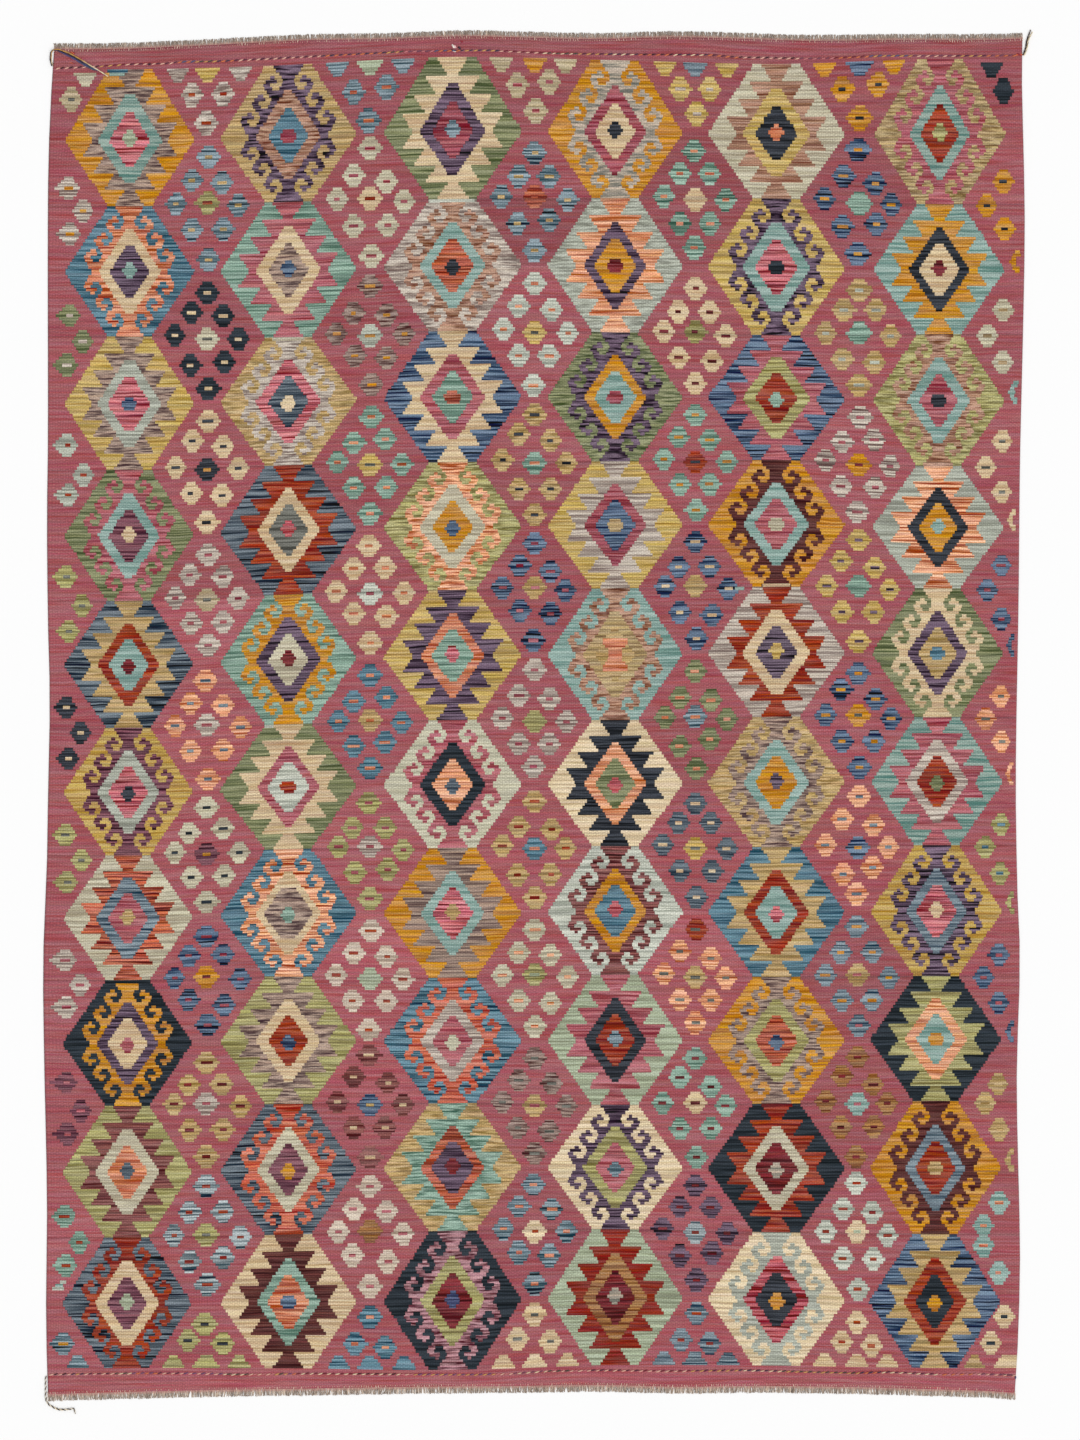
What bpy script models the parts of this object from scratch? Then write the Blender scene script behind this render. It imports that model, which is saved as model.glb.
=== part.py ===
# A flat-woven kilim rug lying flat, with a short cut fringe at both ends and three loose yarn ends
# at its corners. Metres: X runs along the weft, Y along the warp, Z up. The origin is the middle of
# the rug's underside. Sizes that are written in millimetres are turned into metres by MM.

import random

import bpy
from mathutils import Vector

MM = 0.001
MESH_GAP = 0.35 * MM

CLOTH_THICKNESS = 3.0 * MM
SELVEDGE_STEPS = 30
END_STEPS = 36

FRINGE_THICKNESS = 2.0 * MM
FRINGE_STRIP = 3.0 * MM
LOCKS_PER_END = 140
LOCK_ROOT_SHARE = 0.74
LOCK_TIP_SHARE = 0.56
LOCK_LEAN = 1.2 * MM
LOCK_LENGTHS = {
    "fringe_top": (13.5 * MM, 16.0 * MM),
    "fringe_bottom": (12.5 * MM, 15.0 * MM),
}

CORNERS = {
    "top_left": (-1020, 1415),
    "top_right": (1038, 1438),
    "bottom_right": (1022, -1440),
    "bottom_left": (-1033, -1443),
}

# Where each end of the cloth lies between its corners: (x, y) in millimetres.
TOP_END = (
    (-880, 1416),
    (-689, 1424),
    (-497, 1434),
    (-306, 1437),
    (-147, 1443),
    (13, 1439),
    (140, 1437),
    (300, 1441),
    (459, 1437),
    (587, 1433),
    (778, 1435),
    (969, 1435),
)
BOTTOM_END = (
    (-943, -1440),
    (-689, -1434),
    (-433, -1430),
    (-242, -1427),
    (-30, -1425),
    (140, -1423),
    (310, -1427),
    (459, -1425),
    (650, -1427),
    (841, -1432),
    (969, -1436),
)

# Where each selvedge lies between its corners: (y, x) in millimetres.
LEFT_SELVEDGE = (
    (-1285, -1037),
    (-1030, -1035),
    (-733, -1041),
    (-520, -1043),
    (-308, -1035),
    (-180, -1033),
    (32, -1029),
    (202, -1033),
    (415, -1035),
    (585, -1033),
    (1095, -1033),
    (1265, -1029),
)
RIGHT_SELVEDGE = (
    (-1391, 1026),
    (-1158, 1033),
    (-775, 1026),
    (-520, 1033),
    (-393, 1028),
    (-138, 1024),
    (245, 1030),
    (542, 1033),
    (797, 1039),
    (1010, 1043),
    (1137, 1042),
    (1350, 1037),
)

# Loose yarn ends: the diameter, and the route as (x, y, height of the middle) in millimetres.
YARN_ENDS = {
    "yarn_end_top_left": {
        "diameter": 4.6,
        "color": (0.055, 0.065, 0.12, 1.0),
        "route": (
            (-1025, 1379, 2.5),
            (-1028, 1388, 2.5),
            (-1029, 1399, 2.7),
            (-1027, 1408, 4.0),
            (-1021, 1414, 5.9),
            (-1010, 1413, 6.0),
            (-991, 1405, 5.9),
            (-967, 1392, 5.8),
            (-944, 1378, 5.8),
            (-922, 1366, 5.8),
            (-905, 1356, 5.8),
        ),
    },
    "yarn_end_top_right": {
        "diameter": 4.0,
        "color": (0.09, 0.06, 0.04, 1.0),
        "route": (
            (1040, 1402, 2.1),
            (1044, 1411, 2.1),
            (1047, 1421, 2.1),
            (1048, 1430, 2.1),
            (1051, 1440, 2.1),
            (1055, 1449, 2.1),
            (1058, 1456, 2.1),
        ),
    },
    "yarn_end_bottom_left": {
        "diameter": 4.0,
        "color": (0.09, 0.065, 0.045, 1.0),
        "route": (
            (-1036.5, -1404, 2.1),
            (-1038, -1412, 2.1),
            (-1038, -1423, 2.1),
            (-1038, -1434, 2.1),
            (-1038, -1445, 2.1),
            (-1037, -1455, 2.1),
            (-1032, -1464, 2.1),
            (-1023, -1470, 2.1),
            (-1012, -1475, 2.1),
            (-1000, -1476, 2.1),
            (-988, -1475, 2.1),
            (-979, -1474, 2.1),
            (-976, -1479, 2.1),
            (-975, -1485, 2.1),
        ),
    },
}

CLOTH_COLOR = (0.40, 0.10, 0.13, 1.0)
FRINGE_COLOR = (0.45, 0.39, 0.32, 1.0)


def clear_scene():
    for item in list(bpy.data.objects):
        bpy.data.objects.remove(item, do_unlink=True)


def make_material(name, color, roughness):
    material = bpy.data.materials.new(name)
    material.use_nodes = True
    principled = material.node_tree.nodes["Principled BSDF"]
    principled.inputs["Base Color"].default_value = color
    principled.inputs["Roughness"].default_value = roughness
    principled.inputs["Metallic"].default_value = 0.0
    return material


def through_corners(first, table, last):
    """The table of an edge with its two corners added, in metres."""
    rows = [first, *table, last]
    return [(along * MM, across * MM) for along, across in rows]


def smooth_value(rows, along):
    """Reads the edge's place at one point along it, on a smooth curve through the table's rows."""
    last = len(rows) - 1
    span = 0
    while span < last - 1 and along > rows[span + 1][0]:
        span += 1
    start, end = rows[span], rows[span + 1]
    before, after = rows[max(span - 1, 0)], rows[min(span + 2, last)]
    length = end[0] - start[0]
    start_slope = (end[1] - before[1]) / (end[0] - before[0])
    end_slope = (after[1] - start[1]) / (after[0] - start[0])
    t = (along - start[0]) / length
    return (
        (2 * t**3 - 3 * t**2 + 1) * start[1]
        + (t**3 - 2 * t**2 + t) * length * start_slope
        + (3 * t**2 - 2 * t**3) * end[1]
        + (t**3 - t**2) * length * end_slope
    )


def sample_edge(rows, steps):
    """Evenly spaced points along an edge, corners included."""
    first, last = rows[0][0], rows[-1][0]
    places = [first + (last - first) * step / steps for step in range(steps + 1)]
    return [(along, smooth_value(rows, along)) for along in places]


def straight_value(points, along):
    """Reads the edge's place between its sampled points, as the cloth's outline runs there."""
    for (x0, y0), (x1, y1) in zip(points, points[1:]):
        if along <= x1:
            return y0 + (y1 - y0) * (along - x0) / (x1 - x0)
    return points[-1][1]


def add_flat_outline(name, outline, thickness, material, collection):
    """A filled flat shape of one thickness that rests on z = 0."""
    curve = bpy.data.curves.new(name, "CURVE")
    curve.dimensions = "2D"
    curve.fill_mode = "BOTH"
    curve.extrude = thickness / 2
    spline = curve.splines.new("POLY")
    spline.points.add(len(outline) - 1)
    for point, (x, y) in zip(spline.points, outline):
        point.co = (x, y, 0.0, 1.0)
    spline.use_cyclic_u = True
    shape = bpy.data.objects.new(name, curve)
    shape.location.z = thickness / 2
    curve.materials.append(material)
    collection.objects.link(shape)
    return shape


def cloth_outline(top, bottom, left, right):
    """The four sampled edges joined into one outline, anticlockwise from the bottom left corner."""
    outline = list(bottom)
    outline += [(x, y) for y, x in right[1:]]
    outline += list(reversed(top))[1:]
    outline += [(x, y) for y, x in reversed(left)][1:-1]
    return outline


def fringe_outline(edge, outward, lengths, chance):
    """A strip along one end of the cloth with its locks, as one comb-shaped outline."""
    first, last = edge[0][0], edge[-1][0]
    pitch = (last - first) / LOCKS_PER_END
    roots = [(x, y + outward * MESH_GAP) for x, y in edge]
    comb = []
    for lock in range(LOCKS_PER_END):
        middle = first + (lock + 0.5) * pitch
        root = straight_value(edge, middle) + outward * (MESH_GAP + FRINGE_STRIP)
        tip = root + outward * (chance.uniform(*lengths) - FRINGE_STRIP)
        root_half = LOCK_ROOT_SHARE * pitch / 2
        tip_half = LOCK_TIP_SHARE * pitch / 2
        lean = chance.uniform(-LOCK_LEAN, LOCK_LEAN)
        comb += [
            (middle - root_half, root),
            (middle + lean - tip_half, tip),
            (middle + lean + tip_half, tip),
            (middle + root_half, root),
        ]
    strip = outward * (MESH_GAP + FRINGE_STRIP)
    start = (first, edge[0][1] + strip)
    end = (last, edge[-1][1] + strip)
    return roots + [end] + list(reversed(comb)) + [start]


def smooth_route(points, spacing):
    """Points about one spacing apart on a smooth curve through the route's own points."""
    ends = [2 * points[0] - points[1]] + points + [2 * points[-1] - points[-2]]
    route = []
    for before, start, end, after in zip(ends, ends[1:], ends[2:], ends[3:]):
        steps = max(1, round((end - start).length / spacing))
        for step in range(steps):
            t = step / steps
            route.append(
                start
                + 0.5 * t * (end - before)
                + t**2 * (before - 2.5 * start + 2 * end - 0.5 * after)
                + t**3 * (1.5 * start - 1.5 * end + 0.5 * after - 0.5 * before)
            )
    route.append(points[-1])
    return route


def add_yarn_end(name, diameter, route, color, collection):
    """A round tube with closed ends along the yarn's route."""
    points = [Vector(point) * MM for point in route]
    radius = diameter * MM / 2
    places = smooth_route(points, 4 * radius)
    curve = bpy.data.curves.new(name, "CURVE")
    curve.dimensions = "3D"
    curve.bevel_depth = radius
    curve.bevel_resolution = 2
    curve.use_fill_caps = True
    spline = curve.splines.new("POLY")
    spline.points.add(len(places) - 1)
    for point, place in zip(spline.points, places):
        point.co = (*place, 1.0)
    yarn = bpy.data.objects.new(name, curve)
    curve.materials.append(make_material(name, color, 0.9))
    collection.objects.link(yarn)
    return yarn


def main():
    clear_scene()
    collection = bpy.data.collections.new("kilim_rug")
    bpy.context.scene.collection.children.link(collection)

    top_rows = through_corners(CORNERS["top_left"], TOP_END, CORNERS["top_right"])
    bottom_rows = through_corners(
        CORNERS["bottom_left"], BOTTOM_END, CORNERS["bottom_right"]
    )
    left_rows = through_corners(
        CORNERS["bottom_left"][::-1], LEFT_SELVEDGE, CORNERS["top_left"][::-1]
    )
    right_rows = through_corners(
        CORNERS["bottom_right"][::-1], RIGHT_SELVEDGE, CORNERS["top_right"][::-1]
    )
    top = sample_edge(top_rows, END_STEPS)
    bottom = sample_edge(bottom_rows, END_STEPS)
    left = sample_edge(left_rows, SELVEDGE_STEPS)
    right = sample_edge(right_rows, SELVEDGE_STEPS)

    outline = cloth_outline(top, bottom, left, right)
    cloth = make_material("cloth", CLOTH_COLOR, 0.9)
    add_flat_outline("kilim", outline, CLOTH_THICKNESS, cloth, collection)

    fringe = make_material("fringe", FRINGE_COLOR, 0.95)
    for name, edge, outward in (
        ("fringe_top", top, 1),
        ("fringe_bottom", bottom, -1),
    ):
        chance = random.Random(name)
        comb = fringe_outline(edge, outward, LOCK_LENGTHS[name], chance)
        add_flat_outline(name, comb, FRINGE_THICKNESS, fringe, collection)

    for name, yarn in YARN_ENDS.items():
        add_yarn_end(name, yarn["diameter"], yarn["route"], yarn["color"], collection)


main()
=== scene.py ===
import math
import random
from bisect import bisect_left
from functools import reduce

import bmesh
import bpy
import numpy as np
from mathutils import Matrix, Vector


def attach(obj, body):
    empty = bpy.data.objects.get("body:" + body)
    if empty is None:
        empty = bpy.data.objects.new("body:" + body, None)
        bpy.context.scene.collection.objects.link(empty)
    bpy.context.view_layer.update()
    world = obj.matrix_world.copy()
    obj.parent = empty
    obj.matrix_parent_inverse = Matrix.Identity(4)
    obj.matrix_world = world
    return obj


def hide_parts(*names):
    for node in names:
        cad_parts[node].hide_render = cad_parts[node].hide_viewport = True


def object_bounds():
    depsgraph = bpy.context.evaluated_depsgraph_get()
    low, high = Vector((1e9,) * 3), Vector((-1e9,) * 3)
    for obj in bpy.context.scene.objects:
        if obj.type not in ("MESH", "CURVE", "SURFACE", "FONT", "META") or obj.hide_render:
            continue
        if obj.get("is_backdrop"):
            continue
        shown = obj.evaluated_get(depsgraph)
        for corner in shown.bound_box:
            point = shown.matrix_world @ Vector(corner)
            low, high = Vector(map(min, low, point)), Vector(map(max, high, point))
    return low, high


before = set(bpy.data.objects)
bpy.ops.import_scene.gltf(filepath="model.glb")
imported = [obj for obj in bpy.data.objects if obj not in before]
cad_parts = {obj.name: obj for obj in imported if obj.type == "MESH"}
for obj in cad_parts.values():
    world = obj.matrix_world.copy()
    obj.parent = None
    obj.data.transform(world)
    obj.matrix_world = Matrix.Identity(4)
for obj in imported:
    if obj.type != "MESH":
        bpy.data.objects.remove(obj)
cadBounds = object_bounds()
print("frame loaded")

mm = 0.001


def addObject(name, data):
    made = bpy.data.objects.new(name, data)
    bpy.context.scene.collection.objects.link(made)
    return made


def setAttribute(mesh, name, kind, domain, values, field):
    made = mesh.attributes.new(name, kind, domain)
    made.data.foreach_set(field, np.asarray(values, np.float32).ravel())


def linear(shade):
    # shades are written as they look in daylight, from 0 to 255; Blender wants linear light
    parts = []
    for value in shade:
        share = value / 255
        parts.append(share / 12.92 if share <= 0.04045 else ((share + 0.055) / 1.055) ** 2.4)
    return (*parts, 1.0)


# nodes: a socket as a value is linked, anything else is set

def addNode(tree, kind, values=None, **settings):
    made = tree.nodes.new(kind)
    for name, value in settings.items():
        setattr(made, name, value)
    for name, value in (values or {}).items():
        if isinstance(value, bpy.types.NodeSocket):
            tree.links.new(value, made.inputs[name])
        else:
            made.inputs[name].default_value = value
    return made


def calc(tree, operation, *values):
    return addNode(tree, "ShaderNodeMath", dict(enumerate(values)), operation=operation).outputs[0]


def plus(tree, *values):
    return reduce(lambda total, value: calc(tree, "ADD", total, value), values)


def times(tree, *values):
    return reduce(lambda product, value: calc(tree, "MULTIPLY", product, value), values)


def combine(tree, x, y, z):
    return addNode(tree, "ShaderNodeCombineXYZ", {0: x, 1: y, 2: z}).outputs[0]


def split(tree, vector):
    return addNode(tree, "ShaderNodeSeparateXYZ", {0: vector}).outputs


def noise(tree, vector, scale=1.0, detail=2.0, roughness=0.5):
    values = {"Vector": vector, "Scale": scale, "Detail": detail, "Roughness": roughness}
    return addNode(tree, "ShaderNodeTexNoise", values).outputs[0]


def fade(tree, value, low, high, toLow=0.0, toHigh=1.0):
    # from one number to another as the value runs from low to high, with a soft start and end
    values = {"Value": value, "From Min": low, "From Max": high, "To Min": toLow, "To Max": toHigh}
    return addNode(tree, "ShaderNodeMapRange", values, interpolation_type="SMOOTHSTEP").outputs[0]


def mixColor(tree, share, first, second, way="MIX", beyond=False):
    # beyond: a share under 0 or over 1 carries on past the two colours
    values = {0: share, 6: first, 7: second}
    made = addNode(
        tree, "ShaderNodeMix", values, data_type="RGBA", blend_type=way,
        clamp_factor=not beyond, clamp_result=beyond,
    )
    return made.outputs[2]


def shaded(tree, color, shade):
    # the colour made darker or lighter by a number
    return mixColor(tree, 1.0, color, combine(tree, shade, shade, shade), "MULTIPLY")


def objectPlace(tree):
    return addNode(tree, "ShaderNodeTexCoord").outputs["Object"]


def attribute(tree, name):
    return addNode(tree, "ShaderNodeAttribute", attribute_name=name).outputs


def startMaterial(name, roughness, sheen):
    material = bpy.data.materials.new(name)
    material.use_nodes = True
    shader = material.node_tree.nodes["Principled BSDF"]
    shader.inputs["Roughness"].default_value = roughness
    shader.inputs["Sheen Weight"].default_value = sheen
    shader.inputs["Sheen Roughness"].default_value = 0.5
    shader.inputs["Specular IOR Level"].default_value = 0.15
    return material, material.node_tree, shader


# camera, light and floor
studio = {
    "lens": 85.0,  # millimetres, on a frame 36 mm high
    "frameHeight": 3.06,  # what the picture spans at the rug's face
    "aim": (0.01275, -0.0101),
    "ambient": 0.60,
    "sun": 1.50,
    "sunTurn": (26, 0, 40),  # degrees: how far the light leans, and from which side
    "sunSpread": 55,
    "floorShade": (250, 250, 250),
    "floorHalf": 60.0,
}


def makeStudio():
    scene = bpy.context.scene
    scene.view_settings.view_transform = "Standard"
    data = bpy.data.cameras.new("overheadCamera")
    data.sensor_fit = "VERTICAL"
    data.sensor_height = 36.0
    data.lens = studio["lens"]
    camera = addObject("overheadCamera", data)
    away = studio["frameHeight"] * studio["lens"] / 36.0
    camera.location = (*studio["aim"], away + 3 * mm)
    scene.camera = camera

    world = bpy.data.worlds.new("studioWorld")
    world.use_nodes = True
    background = world.node_tree.nodes["Background"]
    background.inputs["Color"].default_value = (1.0, 1.0, 1.0, 1.0)
    background.inputs["Strength"].default_value = studio["ambient"]
    scene.world = world

    light = bpy.data.lights.new("softLight", "SUN")
    light.energy = studio["sun"]
    light.angle = math.radians(studio["sunSpread"])
    lamp = addObject("softLight", light)
    lamp.rotation_euler = [math.radians(angle) for angle in studio["sunTurn"]]

    half = studio["floorHalf"]
    mesh = bpy.data.meshes.new("paleFloor")
    corners = [(-half, -half), (half, -half), (half, half), (-half, half)]
    mesh.from_pydata([(x, y, -0.2 * mm) for x, y in corners], [], [(0, 1, 2, 3)])
    floor = addObject("paleFloor", mesh)
    material, _, shader = startMaterial("paleFloor", 0.9, 0.0)
    shader.inputs["Base Color"].default_value = linear(studio["floorShade"])
    mesh.materials.append(material)
    floor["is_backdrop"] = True


makeStudio()
print("studio ready")


# The loose yarn ends at the corners. Each route, in metres, is the middle of the bundle. A yarn
# in it lists its half width and its place left of the route and above it, in millimetres, at
# even steps along the stretch that it reaches, and the shades of its plies likewise.

looseShades = {
    "black": (40, 30, 36),
    "plum": (74, 48, 64),
    "violet": (84, 80, 128),
    "petrol": (62, 92, 112),
    "ochre": (196, 148, 76),
    "cream": (230, 212, 178),
    "olive": (130, 118, 88),
    "brown": (74, 58, 48),
    "white": (232, 226, 214),
    "crimson": (150, 44, 58),
    "orange": (206, 100, 62),
    "blush": (230, 186, 186),
}

yarnEnds = {
    "yarnEndTopLeft": {
        "node": "yarn_end_top_left",
        "slot": "dark_blue_yarn",
        "diameter": 0.0046,
        "turnLength": 30,
        "route": (
            (-1.025, 1.379, 0.0025),
            (-1.028, 1.388, 0.0025),
            (-1.029, 1.399, 0.0027),
            (-1.027, 1.408, 0.0040),
            (-1.021, 1.414, 0.0059),
            (-1.010, 1.413, 0.0060),
            (-0.991, 1.405, 0.0059),
            (-0.967, 1.392, 0.0058),
            (-0.944, 1.378, 0.0058),
            (-0.922, 1.366, 0.0058),
            (-0.905, 1.356, 0.0058),
        ),
        "yarns": (
            {
                "reach": (0.0, 0.86),
                "half": (1.4, 1.5, 1.6, 1.9, 2.0, 2.0, 1.8, 0.9),
                "left": (-0.8, -1.0, -0.6, -0.2, 0.0, 0.0, 0.0, 0.0),
                "up": (0.2, 0.2, -0.2, 0.0),
                "plies": (("black", "black", "plum", "black", "petrol"), ("plum", "black", "violet")),
            },
            {
                "reach": (0.24, 0.82),
                "half": (0.8, 1.5, 1.65, 1.65, 1.5, 0.8),
                "left": (-1.6, -2.9, -3.1, -3.1, -2.9, -2.0),
                "up": (-0.4, -0.4),
                "plies": (("violet", "violet", "petrol"), ("plum", "violet", "petrol")),
            },
            {
                "reach": (0.0, 1.0),
                "half": (1.2, 1.4, 1.4, 1.4, 1.4, 1.4, 1.4, 1.2),
                "left": (-3.1, -3.1, 0.8, 2.7, 2.9, 2.8, 2.0, 0.8),
                "up": (0.4, 0.6, 1.2, 0.2, 0.2, 0.0),
                "plies": (
                    ("olive", "ochre", "ochre", "ochre", "cream", "cream"),
                    ("cream", "ochre", "ochre", "ochre", "cream", "cream"),
                ),
            },
        ),
    },
    "yarnEndTopRight": {
        "node": "yarn_end_top_right",
        "slot": "brown_yarn",
        "diameter": 0.0040,
        "turnLength": 16,
        "route": (
            (1.040, 1.402, 0.0021),
            (1.044, 1.411, 0.0021),
            (1.047, 1.421, 0.0021),
            (1.048, 1.430, 0.0021),
            (1.051, 1.440, 0.0021),
            (1.055, 1.449, 0.0021),
            (1.058, 1.456, 0.0021),
        ),
        "yarns": (
            {
                "reach": (0.0, 1.0),
                "half": (1.5, 1.6, 1.6, 1.3),
                "left": (1.4, 1.5, 1.5, 2.4),
                "up": (0.0, 0.0),
                "plies": (("brown", "brown"), ("black", "brown")),
            },
            {
                "reach": (0.0, 0.96),
                "half": (1.4, 1.5, 1.5, 1.2),
                "left": (-1.4, -1.5, -1.5, -2.6),
                "up": (0.0, 0.0),
                "plies": (("cream", "cream"), ("cream", "olive", "cream")),
            },
        ),
    },
    "yarnEndBottomLeft": {
        "node": "yarn_end_bottom_left",
        "slot": "brown_yarn",
        "diameter": 0.0040,
        "turnLength": 11.8,
        "route": (
            (-1.0365, -1.404, 0.0021),
            (-1.038, -1.412, 0.0021),
            (-1.038, -1.423, 0.0021),
            (-1.038, -1.434, 0.0021),
            (-1.038, -1.445, 0.0021),
            (-1.037, -1.455, 0.0021),
            (-1.032, -1.464, 0.0021),
            (-1.023, -1.470, 0.0021),
            (-1.012, -1.475, 0.0021),
            (-1.000, -1.476, 0.0021),
            (-0.988, -1.475, 0.0021),
            (-0.979, -1.474, 0.0021),
            (-0.976, -1.479, 0.0021),
            (-0.975, -1.485, 0.0021),
        ),
        "yarns": (
            {
                "reach": (0.0, 1.0),
                "half": (1.9, 2.0, 2.0, 1.8),
                "left": (0.0, 0.0),
                "up": (0.0, 0.0),
                "plies": (("brown", "brown", "black", "brown"), ("white", "white", "cream", "white")),
            },
        ),
    },
}

ply = {
    "width": 0.60,  # of the yarn's half width
    "apart": 0.42,
    "sides": 8,
    "spacing": 0.0012,
    "roundOff": 0.0016,  # how far from its end a yarn starts to close
    "closed": 0.12,  # its share of thickness at the very end, squared
    "lowest": 0.1,  # millimetres above the floor
    "phase": 1.1,  # radians that each yarn of a bundle is turned from the one before
    "bitTurnLength": 14,  # millimetres to a turn, in the small bits
}


def smoothRoute(points, spacing):
    # the smooth curve through the route's points that the solid follows as well
    points = np.array(points, float)
    ends = np.vstack([2 * points[:1] - points[1:2], points, 2 * points[-1:] - points[-2:-1]])
    spots = []
    for before, start, end, after in zip(ends, ends[1:], ends[2:], ends[3:]):
        steps = max(1, round(float(np.linalg.norm(end - start)) / spacing))
        for t in np.arange(steps) / steps:
            spots.append(
                start + 0.5 * t * (end - before)
                + t**2 * (before - 2.5 * start + 2 * end - 0.5 * after)
                + t**3 * (1.5 * start - 1.5 * end + 0.5 * after - 0.5 * before)
            )
    return np.array(spots + [points[-1]])


def routeFrame(spots):
    # how far along each point lies, and the directions left of the route and above it there
    ahead = np.gradient(spots, axis=0)
    ahead /= np.linalg.norm(ahead, axis=1)[:, None]
    left = np.stack([-ahead[:, 1], ahead[:, 0], np.zeros(len(spots))], 1)
    left /= np.linalg.norm(left, axis=1)[:, None]
    along = np.concatenate([[0.0], np.cumsum(np.linalg.norm(np.diff(spots, axis=0), axis=1))])
    return along, left, np.cross(ahead, left)


def evenly(values, share):
    # reads values that were given at even steps from 0 to 1
    values = np.array(values, float)
    places = np.linspace(0, 1, len(values))
    if values.ndim == 1:
        return np.interp(share, places, values)
    return np.stack([np.interp(share, places, column) for column in values.T], 1)


def plyTubes(spots, yarn, turnLength, phase):
    # the plies of one yarn, each as its rings of points and a shade for each ring
    along, left, above = routeFrame(spots)
    share = along / along[-1]
    first, last = yarn["reach"]
    keep = (share >= first) & (share <= last)
    spots, along, left, above = (values[keep] for values in (spots, along, left, above))
    share = (share[keep] - first) / (last - first)
    toEnd = np.minimum(along - along[0], along[-1] - along) / ply["roundOff"]
    half = evenly(yarn["half"], share) * mm * np.sqrt(np.clip(ply["closed"] + toEnd, 0, 1))
    middle = spots + left * (evenly(yarn["left"], share) * mm)[:, None]
    middle = middle + above * (evenly(yarn["up"], share) * mm)[:, None]
    around = np.arange(ply["sides"]) * 2 * math.pi / ply["sides"]
    for number, shades in enumerate(yarn["plies"]):
        turn = phase + along / (turnLength * mm) * 2 * math.pi + number * math.pi
        out = ply["apart"] * half
        centre = middle + left * (out * np.cos(turn))[:, None] + above * (out * np.sin(turn))[:, None]
        radius = ply["width"] * half
        rings = centre[:, None, :] + radius[:, None, None] * (
            np.cos(around)[None, :, None] * left[:, None, :]
            + np.sin(around)[None, :, None] * above[:, None, :]
        )
        rings[:, :, 2] = np.maximum(rings[:, :, 2], ply["lowest"] * mm)
        yield rings, evenly([linear(looseShades[shade]) for shade in shades], share)


def joinTubes(name, tubes, material):
    points, faces, dye = [], [], []
    for rings, shades in tubes:
        start, (count, sides) = len(points), rings.shape[:2]
        points += [tuple(map(float, point)) for point in rings.reshape(-1, 3)]
        dye += [shade for shade in shades for _ in range(sides)]
        for ring in range(count - 1):
            for side in range(sides):
                at, beside = start + ring * sides + side, start + ring * sides + (side + 1) % sides
                faces.append((at, beside, beside + sides, at + sides))
        faces.append(tuple(start + side for side in reversed(range(sides))))
        faces.append(tuple(start + (count - 1) * sides + side for side in range(sides)))
    mesh = bpy.data.meshes.new(name)
    mesh.from_pydata(points, [], faces)
    mesh.materials.append(material)
    mesh.shade_smooth()
    setAttribute(mesh, "dye", "FLOAT_COLOR", "POINT", dye, "color")
    return addObject(name, mesh)


def yarnMaterial():
    # spun wool: the ply's own shade, mottled along it, with fine fibres
    material, tree, shader = startMaterial("looseYarn", 0.9, 0.2)
    place = objectPlace(tree)
    patches = fade(tree, noise(tree, place, 260.0), 0.3, 0.7, 0.82, 1.12)
    fibres = noise(tree, place, 1500.0, roughness=0.7)
    shade = times(tree, patches, fade(tree, fibres, 0.2, 0.8, 0.86, 1.12))
    tree.links.new(shaded(tree, attribute(tree, "dye")[0], shade), shader.inputs["Base Color"])
    bump = addNode(tree, "ShaderNodeBump", {"Height": fibres, "Distance": 0.3 * mm, "Strength": 0.6})
    tree.links.new(bump.outputs[0], shader.inputs["Normal"])
    return material


looseYarn = yarnMaterial()


def makeYarnEnds():
    for name, bundle in yarnEnds.items():
        spots = smoothRoute(bundle["route"], ply["spacing"])
        tubes = []
        for number, yarn in enumerate(bundle["yarns"]):
            tubes += plyTubes(spots, yarn, bundle["turnLength"], ply["phase"] * number)
        piece = joinTubes(name, tubes, looseYarn)
        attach(piece, "root")
        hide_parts(bundle["node"])
        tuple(bundle["route"][0])
        round(float(routeFrame(spots)[0][-1]), 3)


makeYarnEnds()

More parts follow.
